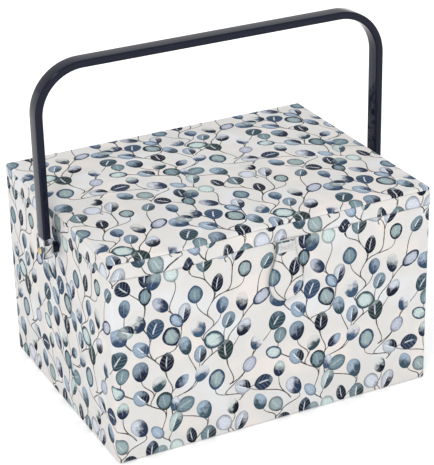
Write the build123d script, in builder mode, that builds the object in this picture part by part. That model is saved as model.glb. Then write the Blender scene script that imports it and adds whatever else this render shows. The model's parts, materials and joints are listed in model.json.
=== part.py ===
"""Cloth-covered sewing box with a padded lid, a bow handle and two sliding trays.

Millimetres.  The origin is the middle of the base where it rests.  X is the width,
Y the depth with the front at -Y, and +Z is up.  The lid is shut and the handle upright.
"""
from build123d import *
import os

os.makedirs("parts", exist_ok=True)

# Driving dimensions of the covered box
box_width = 325.0
box_depth = 250.0
body_height = 184.5
lid_gap = 0.3
lid_band_height = 15.2
cover = 1.2
board = 3.0
lining = 1.5
corner_radius = 3.0
padding_rise = 4.2
padding_round = 2.5
top_cover_round = 2.6
floor_pad_thickness = 4.0
floor_pad_round = 1.8

# Carrying handle, a flat bow on two rivets
bow_outside = 356.8
bow_thickness = 7.4
bow_width = 16.0
bow_top = 343.8
bow_corner = 48.0
bow_chamfer = 1.2
handle_y = -5.0
pivot_z = 167.0
rivet_radius = 2.5
rivet_head_radius = 3.4
rivet_head_rise = 2.3
clench_radius = 4.2
clench_rise = 1.6
clench_bevel = 1.0
spacer_radius = 5.0
washer_radius = 6.0
washer_thickness = 1.0
running_fit = 0.06
sleeve_cloth = 1.0
sleeve_top = 180.5
body_clearance = 0.3

# Closing tab on the lid's front edge
tab_middle = 8.0
tab_top = 184.4
tab_bottom = 124.5
tab_thickness = 3.2
tab_cloth = 0.8
tab_standoff = 0.5
tab_neck = 10.2
tab_neck_end = 172.0
tab_widest = 17.4
tab_widest_z = 147.5
tab_shoulder = (2.4, 163.0)
tab_end_share = 0.66
tab_end_rise = 7.6
hidden_play = 0.1
magnet_z = 145.0
magnet_radius = 6.0
keeper_radius = 8.0
keeper_thickness = 1.0

# Trays and the ledges that carry them
tray_width = 175.0
tray_reach = 150.0
tray_wall = 1.6
tray_corner = 7.0
tray_height = 35.5
upper_tray_bottom = 140.3
lower_tray_bottom = 98.3
upper_ledge_reach = 6.0
lower_ledge_reach = 12.8
ledge_height = 6.0
narrow_bay = 62.0
bay_divider_y = 40.0
finger_notch_radius = 13.0
finger_notch_rise = 4.0
divider_drop = 4.0
upper_tray_play = 1.3
lower_tray_play = 0.6
overcut = 1.0

# Lid furnishings
pocket_x = (-130.0, 50.0)
pocket_y = (-50.0, 70.0)
pocket_drop = 12.5
pocket_cloth = 1.0
elastic_width = 4.0
elastic_thickness = 3.0
cushion_middle = (105.0, 10.0)
cushion_side = 60.0
cushion_height = 9.5
cushion_corner = 12.0
cushion_round = 4.0
ribbon_y = (36.0, 80.0)
ribbon_z = (168.0, 193.0)
ribbon_x = (151.0, 155.2)
tack_y = 39.5
body_tack_z = 172.0
lid_tack_z = 190.0
tack_radius = 3.0
tack_rise = 1.2
tack_taper = 20
hinge_tape_z = (172.0, 197.0)
hinge_tape_thickness = 0.6
hinge_tape_inset = 3.0
hinge_tape_gap = 0.1

# Planes worked out from the driving dimensions
half_width = box_width / 2
half_depth = box_depth / 2
board_x = half_width - cover
board_y = half_depth - cover
inner_board_x = board_x - board
inner_board_y = board_y - board
lining_x = inner_board_x - lining
lining_y = inner_board_y - lining
lid_bottom = body_height + lid_gap
lid_top = lid_bottom + lid_band_height
lid_board_top = lid_top - cover
lid_board_bottom = lid_board_top - board
lid_ceiling = lid_board_bottom - pocket_cloth
cover_top = lid_top + padding_rise
bow_outer = bow_outside / 2
bow_inner = bow_outer - bow_thickness


def save(piece, name):
    """Label one finished piece and write its file."""
    piece.part.label = name
    export_step(piece.part, f"parts/{name}.step")


def flat_board(name, x_span, y_span, z_span, edge_round=0.0):
    """A rectangular board, strip or pad, with its top edges rounded if asked."""
    with BuildPart() as piece:
        with BuildSketch(Plane.XY.offset(z_span[0])):
            with Locations((sum(x_span) / 2, sum(y_span) / 2)):
                Rectangle(x_span[1] - x_span[0], y_span[1] - y_span[0])
        extrude(amount=z_span[1] - z_span[0])
        if edge_round:
            fillet(piece.edges().group_by(Axis.Z)[-1], radius=edge_round)
    save(piece, name)


def side_board(name, side, x_span, half_y, z_span, hole_radius=rivet_radius + running_fit):
    """An upright board at one end of the box, bored for the handle's rivet."""
    start = min(side * x_span[0], side * x_span[1])
    with BuildPart() as piece:
        with BuildSketch(Plane.YZ.offset(start)):
            with Locations((0, sum(z_span) / 2)):
                Rectangle(2 * half_y, z_span[1] - z_span[0])
            with Locations((handle_y, pivot_z)):
                Circle(hole_radius, mode=Mode.SUBTRACT)
        extrude(amount=abs(x_span[1] - x_span[0]))
    save(piece, name)


def cloth_ring(outer_round, inner_x, inner_y):
    """Sketch of the cloth between the outside of the box and a rectangle within it."""
    RectangleRounded(box_width, box_depth, outer_round)
    Rectangle(2 * inner_x, 2 * inner_y, mode=Mode.SUBTRACT)


# ---------------------------------------------------------------- box body
# Base: a stiff board inside, and the cloth the box rests on
base_top = cover + board
wall_span = (cover, body_height - cover)
flat_board("base_board", (-inner_board_x, inner_board_x), (-inner_board_y, inner_board_y),
           (cover, base_top))
flat_board("floor_pad", (-lining_x, lining_x), (-lining_y, lining_y),
           (base_top, base_top + floor_pad_thickness), edge_round=floor_pad_round)

with BuildPart() as base_cover:
    with BuildSketch():
        RectangleRounded(box_width, box_depth, corner_radius)
    extrude(amount=cover)
save(base_cover, "base_cover")

# Front wall with a pocket for the steel keeper behind the cloth
with BuildPart() as front_wall_board:
    with BuildSketch(Plane.XZ.offset(inner_board_y)):
        with Locations((0, sum(wall_span) / 2)):
            Rectangle(2 * board_x, wall_span[1] - wall_span[0])
    extrude(amount=board)
    with BuildSketch(Plane.XZ.offset(board_y)):
        with Locations((tab_middle, magnet_z)):
            Circle(keeper_radius + hidden_play)
    extrude(amount=-keeper_thickness, mode=Mode.SUBTRACT)
save(front_wall_board, "front_wall_board")

with BuildPart() as closure_keeper:
    with BuildSketch(Plane.XZ.offset(board_y)):
        with Locations((tab_middle, magnet_z)):
            Circle(keeper_radius)
    extrude(amount=-keeper_thickness)
save(closure_keeper, "closure_keeper")

flat_board("back_wall_board", (-board_x, board_x), (inner_board_y, board_y), wall_span)
for side, word in ((-1, "left"), (1, "right")):
    side_board(f"{word}_wall_board", side, (inner_board_x, board_x), inner_board_y, wall_span)
    side_board(f"{word}_lining_board", side, (lining_x, inner_board_x), inner_board_y,
               (base_top, body_height))
flat_board("front_lining_board", (-lining_x, lining_x), (-inner_board_y, -lining_y),
           (base_top, body_height))
flat_board("back_lining_board", (-lining_x, lining_x), (lining_y, inner_board_y),
           (base_top, body_height))

# Printed cloth round all four walls, turned in over their top edge
with BuildPart() as body_cover:
    with BuildSketch(Plane.XY.offset(cover)):
        cloth_ring(corner_radius, board_x, board_y)
    extrude(amount=body_height - cover)
    with BuildSketch(Plane.XY.offset(body_height - cover)):
        cloth_ring(corner_radius, inner_board_x, inner_board_y)
    extrude(amount=cover)
    with BuildSketch(Plane.YZ):
        with Locations((handle_y, pivot_z)):
            Circle(rivet_radius + running_fit)
    extrude(amount=box_width, both=True, mode=Mode.SUBTRACT)
save(body_cover, "body_cover")

# Ledges glued along the front and back linings, the upper pair narrower
for level, reach, top in (("upper", upper_ledge_reach, upper_tray_bottom - body_clearance),
                          ("lower", lower_ledge_reach, lower_tray_bottom - body_clearance)):
    ledge_z = (top - ledge_height, top)
    flat_board(f"{level}_ledge_front", (-lining_x, lining_x), (-lining_y, reach - lining_y),
               ledge_z)
    flat_board(f"{level}_ledge_back", (-lining_x, lining_x), (lining_y - reach, lining_y),
               ledge_z)

# ---------------------------------------------------------------- lid
lid_board_z = (lid_board_bottom, lid_board_top)
lid_rim_z = (lid_bottom + cover, lid_board_bottom)
flat_board("lid_top_board", (-board_x, board_x), (-board_y, board_y), lid_board_z)
flat_board("lid_front_rim_board", (-board_x, board_x), (-board_y, -inner_board_y), lid_rim_z)
flat_board("lid_back_rim_board", (-board_x, board_x), (inner_board_y, board_y), lid_rim_z)
flat_board("lid_left_rim_board", (-board_x, -inner_board_x), (-inner_board_y, inner_board_y),
           lid_rim_z)
flat_board("lid_right_rim_board", (inner_board_x, board_x), (-inner_board_y, inner_board_y),
           lid_rim_z)
flat_board("lid_padding", (-board_x, board_x), (-board_y, board_y),
           (lid_board_top, cover_top - cover), edge_round=padding_round)

# Rim band of printed cloth, turned in under the rim
with BuildPart() as lid_rim_cover:
    with BuildSketch(Plane.XY.offset(lid_bottom)):
        cloth_ring(corner_radius, board_x, board_y)
    extrude(amount=lid_band_height)
    with BuildSketch(Plane.XY.offset(lid_bottom)):
        cloth_ring(corner_radius, inner_board_x, inner_board_y)
    extrude(amount=cover)
save(lid_rim_cover, "lid_rim_cover")

# Top panel of printed cloth over the padding
with BuildPart() as lid_top_cover:
    with BuildSketch(Plane.XY.offset(lid_top)):
        RectangleRounded(box_width, box_depth, corner_radius)
    extrude(amount=padding_rise)
    fillet(lid_top_cover.edges().group_by(Axis.Z)[-1], radius=top_cover_round)
    with BuildSketch(Plane.XY.offset(lid_top)):
        Rectangle(2 * board_x, 2 * board_y)
    extrude(amount=padding_rise - cover, mode=Mode.SUBTRACT)
save(lid_top_cover, "lid_top_cover")

# Satin lining of the lid's ceiling and of its rim's inner face
with BuildPart() as lid_lining:
    with BuildSketch(Plane.XY.offset(lid_bottom)):
        Rectangle(2 * inner_board_x, 2 * inner_board_y)
    extrude(amount=lid_board_bottom - lid_bottom)
    with BuildSketch(Plane.XY.offset(lid_bottom)):
        Rectangle(2 * (inner_board_x - pocket_cloth), 2 * (inner_board_y - pocket_cloth))
    extrude(amount=lid_ceiling - lid_bottom, mode=Mode.SUBTRACT)
save(lid_lining, "lid_lining")

# Gathered pocket on the lid's ceiling, its mouth towards the lid's front edge
with BuildPart() as lid_pocket:
    with BuildSketch(Plane.XY.offset(lid_ceiling)):
        with Locations((sum(pocket_x) / 2, sum(pocket_y) / 2)):
            Rectangle(pocket_x[1] - pocket_x[0], pocket_y[1] - pocket_y[0])
    extrude(amount=-pocket_drop)
    with BuildSketch(Plane.XY.offset(lid_ceiling)):
        with Locations((sum(pocket_x) / 2, sum(pocket_y) / 2 - pocket_cloth)):
            Rectangle(pocket_x[1] - pocket_x[0] - 2 * pocket_cloth, pocket_y[1] - pocket_y[0])
    extrude(amount=pocket_cloth - pocket_drop, mode=Mode.SUBTRACT)
save(lid_pocket, "lid_pocket")

pocket_bottom = lid_ceiling - pocket_drop
flat_board("pocket_elastic", pocket_x, (pocket_y[0] - elastic_width, pocket_y[0]),
           (pocket_bottom - elastic_thickness / 2, pocket_bottom + elastic_thickness / 2))

with BuildPart() as pin_cushion:
    with BuildSketch(Plane.XY.offset(lid_ceiling)):
        with Locations(cushion_middle):
            RectangleRounded(cushion_side, cushion_side, cushion_corner)
    extrude(amount=-cushion_height)
    fillet(pin_cushion.edges().group_by(Axis.Z)[0], radius=cushion_round)
save(pin_cushion, "pin_cushion")

# ---------------------------------------------------------------- hinge cloth and stays
# Cloth strip across the joint at the back, and the ribbons that stop the lid
hinge_tape_y = half_depth + hinge_tape_gap
flat_board("lid_hinge_tape", (hinge_tape_inset - board_x, board_x - hinge_tape_inset),
           (hinge_tape_y, hinge_tape_y + hinge_tape_thickness), hinge_tape_z)


def tack_pair(name, wall_x, z):
    """Two domed tacks, one on each end wall, facing each other."""
    with BuildPart() as piece:
        for side in (-1, 1):
            start = side * wall_x
            with BuildSketch(Plane.YZ.offset(start)):
                with Locations((tack_y, z)):
                    Circle(tack_radius)
            extrude(amount=-side * tack_rise, taper=tack_taper)
    save(piece, name)


for side, word in ((-1, "left"), (1, "right")):
    span = sorted((side * ribbon_x[0], side * ribbon_x[1]))
    flat_board(f"stay_ribbon_{word}", span, ribbon_y, ribbon_z)
tack_pair("body_ribbon_tacks", lining_x, body_tack_z)
tack_pair("lid_ribbon_tacks", inner_board_x - pocket_cloth, lid_tack_z)


# ---------------------------------------------------------------- closing tab
def tab_outline(distance, inset):
    """Bell-shaped outline on a plane in front of the box: a neck that swells to a round end."""
    neck = tab_neck - inset
    widest = tab_widest - inset
    bottom = tab_bottom + inset
    top = tab_top - inset
    with BuildSketch(Plane.XZ.offset(distance)) as outline:
        with BuildLine():
            Line((tab_middle, top), (tab_middle + neck, top))
            Line((tab_middle + neck, top), (tab_middle + neck, tab_neck_end))
            Spline((tab_middle + neck, tab_neck_end),
                   (tab_middle + neck + tab_shoulder[0], tab_shoulder[1]),
                   (tab_middle + widest, tab_widest_z),
                   (tab_middle + widest * tab_end_share, bottom + tab_end_rise),
                   (tab_middle, bottom), tangents=((0, -1), (-1, 0)))
            Line((tab_middle, bottom), (tab_middle, top))
        make_face()
        mirror(about=Plane.YZ.offset(tab_middle))
    return outline.sketch


tab_inner_y = half_depth + tab_standoff
tab_core_y = tab_inner_y + tab_cloth
tab_core = tab_thickness - 2 * tab_cloth
tab_outside = tab_outline(tab_inner_y, 0.0)
tab_inside = tab_outline(tab_core_y, tab_cloth)
stiffener_outline = tab_outline(tab_core_y, tab_cloth + hidden_play / 2)

with BuildPart() as closure_tab:
    extrude(tab_outside, amount=tab_thickness)
    extrude(tab_inside, amount=tab_core, mode=Mode.SUBTRACT)
save(closure_tab, "closure_tab")

with BuildPart() as tab_stiffener:
    extrude(stiffener_outline, amount=tab_core)
    with BuildSketch(Plane.XZ.offset(tab_core_y)):
        with Locations((tab_middle, magnet_z)):
            Circle(magnet_radius + hidden_play)
    extrude(amount=tab_core, mode=Mode.SUBTRACT)
save(tab_stiffener, "tab_stiffener")

with BuildPart() as tab_magnet:
    with BuildSketch(Plane.XZ.offset(tab_core_y)):
        with Locations((tab_middle, magnet_z)):
            Circle(magnet_radius)
    extrude(amount=tab_core)
save(tab_magnet, "tab_magnet")

# ---------------------------------------------------------------- handle
leg_bottom = pivot_z - bow_width / 2
with BuildPart() as handle_bow:
    with BuildSketch(Plane.XZ.offset(-handle_y - bow_width / 2)) as bow_outline:
        with Locations((0, (leg_bottom + bow_top) / 2)):
            Rectangle(bow_outside, bow_top - leg_bottom)
        fillet(bow_outline.vertices().group_by(Axis.Y)[-1], radius=bow_corner)
    extrude(amount=bow_width)
    with BuildSketch(Plane.XZ.offset(-handle_y - bow_width / 2)) as bow_opening:
        with Locations((0, (leg_bottom - bow_width + bow_top - bow_thickness) / 2)):
            Rectangle(2 * bow_inner, bow_top - bow_thickness - leg_bottom + bow_width)
        fillet(bow_opening.vertices().group_by(Axis.Y)[-1], radius=bow_corner - bow_thickness)
    extrude(amount=bow_width, mode=Mode.SUBTRACT)
    with BuildSketch(Plane.YZ):
        with Locations((handle_y, pivot_z - bow_width / 2)):
            Rectangle(2 * bow_width, bow_width)
        with Locations((handle_y, pivot_z)):
            Circle(bow_width / 2, mode=Mode.SUBTRACT)
    extrude(amount=bow_outside, both=True, mode=Mode.SUBTRACT)
    with BuildSketch(Plane.YZ):
        with Locations((handle_y, pivot_z)):
            Circle(rivet_radius + running_fit)
    extrude(amount=bow_outside, both=True, mode=Mode.SUBTRACT)
    long_edges = handle_bow.edges().filter_by(lambda edge: edge.center().Z > pivot_z + bow_width)
    chamfer(long_edges, length=bow_chamfer)
save(handle_bow, "handle_bow")


def leg_profile(half):
    """Round-ended outline about the pivot, open towards the sleeve's top."""
    with Locations((handle_y, pivot_z)):
        Circle(half)
    with Locations((handle_y, (pivot_z + sleeve_top) / 2)):
        Rectangle(2 * half, sleeve_top - pivot_z)


for side, word in ((-1, "left"), (1, "right")):
    sleeve_in = bow_inner - sleeve_cloth
    sleeve_out = bow_outer + sleeve_cloth
    start = min(side * sleeve_in, side * sleeve_out)
    with BuildPart() as handle_sleeve:
        with BuildSketch(Plane.YZ.offset(start)):
            leg_profile(bow_width / 2 + sleeve_cloth)
        extrude(amount=sleeve_out - sleeve_in)
        with BuildSketch(Plane.YZ.offset(start + sleeve_cloth)):
            leg_profile(bow_width / 2)
        extrude(amount=bow_thickness, mode=Mode.SUBTRACT)
        with BuildSketch(Plane.YZ.offset(start)):
            with Locations((handle_y, pivot_z)):
                Circle(rivet_radius + running_fit)
        extrude(amount=sleeve_out - sleeve_in, mode=Mode.SUBTRACT)
    save(handle_sleeve, f"handle_sleeve_{word}")

    # Spacer between the box and the sleeve, turning with the rivet
    spacer_in = half_width + body_clearance
    spacer_out = sleeve_in - body_clearance
    with BuildPart() as pivot_spacer:
        with BuildSketch(Plane.YZ.offset(min(side * spacer_in, side * spacer_out))):
            with Locations((handle_y, pivot_z)):
                Circle(spacer_radius)
                Circle(rivet_radius, mode=Mode.SUBTRACT)
        extrude(amount=spacer_out - spacer_in)
    save(pivot_spacer, f"pivot_spacer_{word}")

    # Backing washer on the lining
    washer_in = lining_x - washer_thickness
    with BuildPart() as backing_washer:
        with BuildSketch(Plane.YZ.offset(min(side * washer_in, side * lining_x))):
            with Locations((handle_y, pivot_z)):
                Circle(washer_radius)
                Circle(rivet_radius + running_fit, mode=Mode.SUBTRACT)
        extrude(amount=washer_thickness)
    save(backing_washer, f"backing_washer_{word}")

    # Rivet: domed head outside, shank through leg and wall, clenched head inside
    head_start = sleeve_out + body_clearance
    clench_start = washer_in - body_clearance
    clench_end = clench_start - clench_rise
    head_end = head_start + rivet_head_rise
    rivet_axis = Plane(origin=(0, handle_y, pivot_z), x_dir=(side, 0, 0), z_dir=(0, 1, 0))
    with BuildPart() as handle_rivet:
        with BuildSketch(rivet_axis):
            with BuildLine():
                Polyline((clench_end, 0), (clench_end, clench_radius - clench_bevel),
                         (clench_end + clench_bevel, clench_radius), (clench_start, clench_radius),
                         (clench_start, rivet_radius), (head_start, rivet_radius),
                         (head_start, rivet_head_radius))
                TangentArc((head_end, 0), (head_start, rivet_head_radius), tangent=(0, 1))
                Line((head_end, 0), (clench_end, 0))
            make_face()
        revolve(axis=Axis((0, handle_y, pivot_z), (1, 0, 0)))
    save(handle_rivet, f"handle_rivet_{word}")


# ---------------------------------------------------------------- trays
def tray(name, x_left, bottom, half_y, narrow_side):
    """Moulded tray: one long narrow bay, three square bays and a notch at each end."""
    x_middle = x_left + tray_width / 2
    divider_x = x_middle + narrow_side * (tray_width / 2 - narrow_bay)
    floor_top = bottom + tray_wall
    top = bottom + tray_height
    wide_edge = x_middle - narrow_side * (tray_width / 2 - tray_wall)
    wide_bay = abs(divider_x - wide_edge)
    with BuildPart() as piece:
        with BuildSketch(Plane.XY.offset(bottom)):
            with Locations((x_middle, 0)):
                RectangleRounded(tray_width, 2 * half_y, tray_corner)
        extrude(amount=tray_height)
        with BuildSketch(Plane.XY.offset(floor_top)):
            with Locations((x_middle, 0)):
                RectangleRounded(tray_width - 2 * tray_wall, 2 * (half_y - tray_wall),
                                 tray_corner - tray_wall)
        extrude(amount=tray_height, mode=Mode.SUBTRACT)
        with BuildSketch(Plane.XY.offset(floor_top)):
            with Locations((divider_x, 0)):
                Rectangle(tray_wall, 2 * (half_y - tray_wall))
            for y in (-bay_divider_y, bay_divider_y):
                with Locations(((divider_x + wide_edge) / 2, y)):
                    Rectangle(wide_bay, tray_wall)
        extrude(amount=tray_height - tray_wall - divider_drop)
        with BuildSketch(Plane.YZ.offset(x_left - overcut)):
            with Locations((0, top + finger_notch_rise)):
                Circle(finger_notch_radius)
        extrude(amount=tray_wall + 2 * overcut, mode=Mode.SUBTRACT)
        with BuildSketch(Plane.YZ.offset(x_left + tray_width + overcut)):
            with Locations((0, top + finger_notch_rise)):
                Circle(finger_notch_radius)
        extrude(amount=-tray_wall - 2 * overcut, mode=Mode.SUBTRACT)
    save(piece, name)


tray("upper_tray", -tray_reach, upper_tray_bottom, lining_y - upper_tray_play, -1)
tray("lower_tray", tray_reach - tray_width, lower_tray_bottom,
     lining_y - upper_ledge_reach - lower_tray_play, 1)
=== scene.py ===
"""Looks of a cloth-covered sewing box with a padded lid, a bow handle and sliding trays.

Lengths inside the print and shape code are millimetres; meshes and settings are metres.
The frame's origin is the middle of the base, X is the width, the front is at -Y, +Z is up.
"""

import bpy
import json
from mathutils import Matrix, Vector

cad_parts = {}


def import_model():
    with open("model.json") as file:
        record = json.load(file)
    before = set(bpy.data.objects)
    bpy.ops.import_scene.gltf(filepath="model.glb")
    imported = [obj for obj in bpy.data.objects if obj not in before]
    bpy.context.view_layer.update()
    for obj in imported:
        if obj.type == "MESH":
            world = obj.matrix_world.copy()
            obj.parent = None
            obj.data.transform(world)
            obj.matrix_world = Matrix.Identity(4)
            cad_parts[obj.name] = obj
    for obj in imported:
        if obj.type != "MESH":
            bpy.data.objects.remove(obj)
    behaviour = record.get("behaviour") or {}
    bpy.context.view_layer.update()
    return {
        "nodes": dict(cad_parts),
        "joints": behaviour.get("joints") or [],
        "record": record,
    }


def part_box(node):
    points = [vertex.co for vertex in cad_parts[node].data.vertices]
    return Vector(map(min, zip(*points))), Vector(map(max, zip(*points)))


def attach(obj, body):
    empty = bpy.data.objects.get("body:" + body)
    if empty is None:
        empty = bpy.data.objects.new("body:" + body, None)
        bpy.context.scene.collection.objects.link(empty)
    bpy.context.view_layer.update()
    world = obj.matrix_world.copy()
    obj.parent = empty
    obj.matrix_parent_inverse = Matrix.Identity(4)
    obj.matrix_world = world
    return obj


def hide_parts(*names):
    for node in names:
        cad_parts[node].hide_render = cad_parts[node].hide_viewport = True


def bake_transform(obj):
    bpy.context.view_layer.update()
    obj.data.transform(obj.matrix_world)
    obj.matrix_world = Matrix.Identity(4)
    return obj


bl_info = {
    "name": "Sewing box with trays",
    "version": (1, 0, 0),
    "blender": (4, 5, 0),
    "location": "3D View > Sidebar > Sewing Box",
    "description": "Printed cloth, linings, handle and trays of a sewing box",
    "category": "Object",
}

import json
import math
import random
import bmesh
import bpy
import numpy as np
from mathutils import Matrix, Vector, noise
from mathutils.geometry import delaunay_2d_cdt

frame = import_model()
NODES = frame["nodes"]
MM = 0.001
JOINTS = {joint["name"]: joint for joint in frame["joints"]}


def node_mm(name):
    """Lowest and highest corner of a CAD node in millimetres."""
    low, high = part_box(name)
    return np.array(low) * 1000, np.array(high) * 1000


BODY_LOW, BODY_HIGH = node_mm("body_cover")
HALF_X, HALF_Y = BODY_HIGH[0], BODY_HIGH[1]
BODY_TOP = BODY_HIGH[2]
RIM_BOTTOM, RIM_TOP = node_mm("lid_rim_cover")[0][2], node_mm("lid_rim_cover")[1][2]
TAB_LOW, TAB_HIGH = node_mm("closure_tab")
LINING = node_mm("left_lining_board")[1]
LINING_X, LINING_Y = -LINING[0], -node_mm("front_lining_board")[1][1]
FLOOR_TOP = node_mm("base_board")[1][2]
LID_LOW, LID_HIGH = node_mm("lid_lining")
LID_CEILING = node_mm("pin_cushion")[1][2]
PIVOT = [value * 1000 for value in JOINTS["handle_swing"]["pos_m"]]
BOW_CORNER = 48.0
HINGE = [value * 1000 for value in JOINTS["lid_hinge"]["pos_m"]]
CORNER = 3.0


# ------------------------------------------------------------------ settings
class PrintSettings(bpy.types.PropertyGroup):
    """Leaf print of the cloth."""
    repeat_width: bpy.props.FloatProperty(
        name="Repeat width", description="Width of one repeat of the print", default=0.158, unit="LENGTH")
    repeat_height: bpy.props.FloatProperty(
        name="Repeat height", description="Height of one repeat of the print", default=0.176, unit="LENGTH")
    leaves: bpy.props.IntProperty(
        name="Leaves", description="Leaves in one repeat", default=54, min=8, max=90)
    leaf_length: bpy.props.FloatProperty(
        name="Leaf length", description="Middle length of a leaf", default=0.0186, unit="LENGTH")
    seed: bpy.props.IntProperty(
        name="Print seed", description="Seed of the layout of the leaves", default=11)
    cloth_colour: bpy.props.FloatVectorProperty(
        name="Cloth", description="Ground colour of the cloth", default=(0.662, 0.651, 0.635),
        subtype="COLOR", min=0, max=1)
    stem_colour: bpy.props.FloatVectorProperty(
        name="Stems", description="Colour of the printed stems", default=(0.040, 0.031, 0.025),
        subtype="COLOR", min=0, max=1)


class CoverSettings(bpy.types.PropertyGroup):
    """Cloth covers of the body, lid and tab."""
    crown: bpy.props.FloatProperty(
        name="Crown", description="How far the padding lifts the lid's cloth", default=0.0036, unit="LENGTH")
    hem_drop: bpy.props.FloatProperty(
        name="Hem drop", description="How low the lid's hem hangs near the front left corner",
        default=0.0032, unit="LENGTH")
    cloth: bpy.props.FloatProperty(
        name="Cloth", description="Thickness of the covering cloth", default=0.0005, unit="LENGTH")


class HandleSettings(bpy.types.PropertyGroup):
    """Bow handle."""
    plastic: bpy.props.FloatVectorProperty(
        name="Plastic", description="Colour of the handle", default=(0.0040, 0.0060, 0.0150),
        subtype="COLOR", min=0, max=1)
    edge: bpy.props.FloatProperty(
        name="Edge round", description="Rounding of the handle's long edges", default=0.0017, unit="LENGTH")


class InsideSettings(bpy.types.PropertyGroup):
    """Linings, ribbons, cushion and trays."""
    satin: bpy.props.FloatVectorProperty(
        name="Satin", description="Colour of the satin lining", default=(0.155, 0.225, 0.33),
        subtype="COLOR", min=0, max=1)
    ribbon: bpy.props.FloatVectorProperty(
        name="Ribbon", description="Colour of the ribbons and elastic", default=(0.016, 0.026, 0.065),
        subtype="COLOR", min=0, max=1)
    velvet: bpy.props.FloatVectorProperty(
        name="Velvet", description="Colour of the pin cushion", default=(0.026, 0.038, 0.085),
        subtype="COLOR", min=0, max=1)
    tray: bpy.props.FloatVectorProperty(
        name="Trays", description="Colour of the moulded trays", default=(0.70, 0.75, 0.80),
        subtype="COLOR", min=0, max=1)


def settings(name):
    """One of the scene's groups of settings."""
    return getattr(bpy.context.scene, name)


# ------------------------------------------------------------------ node helpers
class Graph:
    """Short ways to wire a material's nodes."""

    def __init__(self, name):
        self.material = bpy.data.materials.new(name)
        self.material.use_nodes = True
        self.nodes = self.material.node_tree.nodes
        self.links = self.material.node_tree.links
        self.shader = self.nodes["Principled BSDF"]

    def plug(self, target, value):
        """Links a socket, or sets a plain value."""
        if isinstance(value, bpy.types.NodeSocket):
            self.links.new(value, target)
        elif value is not None:
            target.default_value = value

    def math(self, kind, first, second=None, third=None, clamp=False):
        """A Math node's result."""
        made = self.nodes.new("ShaderNodeMath")
        made.operation = kind
        made.use_clamp = clamp
        for place, value in enumerate((first, second, third)):
            self.plug(made.inputs[place], value)
        return made.outputs[0]

    def step(self, value, low, high, out_low=0.0, out_high=1.0):
        """A smooth step between two values."""
        made = self.nodes.new("ShaderNodeMapRange")
        made.interpolation_type = "SMOOTHSTEP"
        for place, number in enumerate((value, low, high, out_low, out_high)):
            self.plug(made.inputs[place], number)
        return made.outputs[0]

    def mix(self, first, second, share, kind="MIX"):
        """Two colours mixed."""
        made = self.nodes.new("ShaderNodeMix")
        made.data_type = "RGBA"
        made.blend_type = kind
        self.plug(made.inputs["Factor"], share)
        for socket, value in zip((made.inputs[6], made.inputs[7]), (first, second)):
            self.plug(socket, (*value, 1) if isinstance(value, tuple) and len(value) == 3 else value)
        return made.outputs[2]

    def attribute(self, name, output="Vector"):
        """A mesh attribute."""
        made = self.nodes.new("ShaderNodeAttribute")
        made.attribute_name = name
        return made.outputs[output]

    def parts(self, vector):
        """The three parts of a vector."""
        made = self.nodes.new("ShaderNodeSeparateXYZ")
        self.plug(made.inputs[0], vector)
        return made.outputs

    def noise(self, vector, scale, detail=2.0, rough=0.5):
        """A noise value about 0.5."""
        made = self.nodes.new("ShaderNodeTexNoise")
        self.plug(made.inputs["Vector"], vector)
        for socket, number in (("Scale", scale), ("Detail", detail), ("Roughness", rough)):
            made.inputs[socket].default_value = number
        return made.outputs["Fac"]

    def stretched(self, vector, scale):
        """A vector with each part scaled on its own."""
        made = self.nodes.new("ShaderNodeMapping")
        self.plug(made.inputs["Vector"], vector)
        made.inputs["Scale"].default_value = scale
        return made.outputs[0]

    def place(self):
        """Where a point is on the object, in metres."""
        return self.nodes.new("ShaderNodeTexCoord").outputs["Object"]

    def bump(self, height, strength, distance):
        """Bump on the shader's normal."""
        made = self.nodes.new("ShaderNodeBump")
        made.inputs["Strength"].default_value = strength
        made.inputs["Distance"].default_value = distance
        self.plug(made.inputs["Height"], height)
        self.plug(self.shader.inputs["Normal"], made.outputs[0])

    def finish(self, colour, rough, **sockets):
        """Colour and roughness, which may vary, and plain values for the other sockets."""
        if isinstance(colour, tuple) and len(colour) == 3:
            colour = (*colour, 1)
        self.plug(self.shader.inputs["Base Color"], colour)
        self.plug(self.shader.inputs["Roughness"], rough)
        for name, value in sockets.items():
            self.shader.inputs[name.replace("_", " ")].default_value = value
        return self.material


def weave_height(graph, place, threads):
    """Height of a plain weave with this many threads for each unit of place."""
    across, along, _ = graph.parts(place)
    turn = math.tau * threads
    over = graph.math("SINE", graph.math("MULTIPLY", across, turn))
    under = graph.math("SINE", graph.math("MULTIPLY", along, turn))
    return graph.math("ADD", graph.math("MULTIPLY", over, under), graph.noise(place, threads * 0.4))


# ------------------------------------------------------------------ the print
def linear(*values):
    """Linear colour from 0 to 255 screen values."""
    return tuple((v / 255 / 12.92) if v <= 10 else ((v / 255 + 0.055) / 1.055) ** 2.4 for v in values)


DARK_INKS = [linear(*ink) for ink in (
    (20, 26, 44), (24, 32, 48), (40, 54, 78), (52, 72, 98), (48, 70, 80), (42, 56, 58), (32, 42, 68),
    (62, 84, 108), (28, 38, 58), (56, 78, 90))]
LIGHT_INKS = [linear(*ink) for ink in (
    (194, 210, 208), (182, 188, 202), (206, 212, 222), (150, 168, 170), (160, 178, 196), (200, 216, 214),
    (138, 156, 172), (120, 142, 150))]
# name: share of the leaves, rim, split, vein, wash offset, fade
LEAF_STYLES = {
    "washed": (0.40, 0.20, 0.0, 0.15, 0.05, 0.0),
    "rimmed": (0.22, 1.10, 0.0, 0.20, -0.85, 0.0),
    "halved": (0.14, 0.30, 1.0, 0.90, 0.35, 0.0),
    "solid": (0.12, 0.25, 0.0, 0.75, 0.95, 0.0),
    "pale": (0.06, 0.45, 0.0, 0.35, -1.10, 0.0),
    "faded": (0.05, 0.0, 0.0, 0.0, 0.00, 0.8),
}


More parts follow.
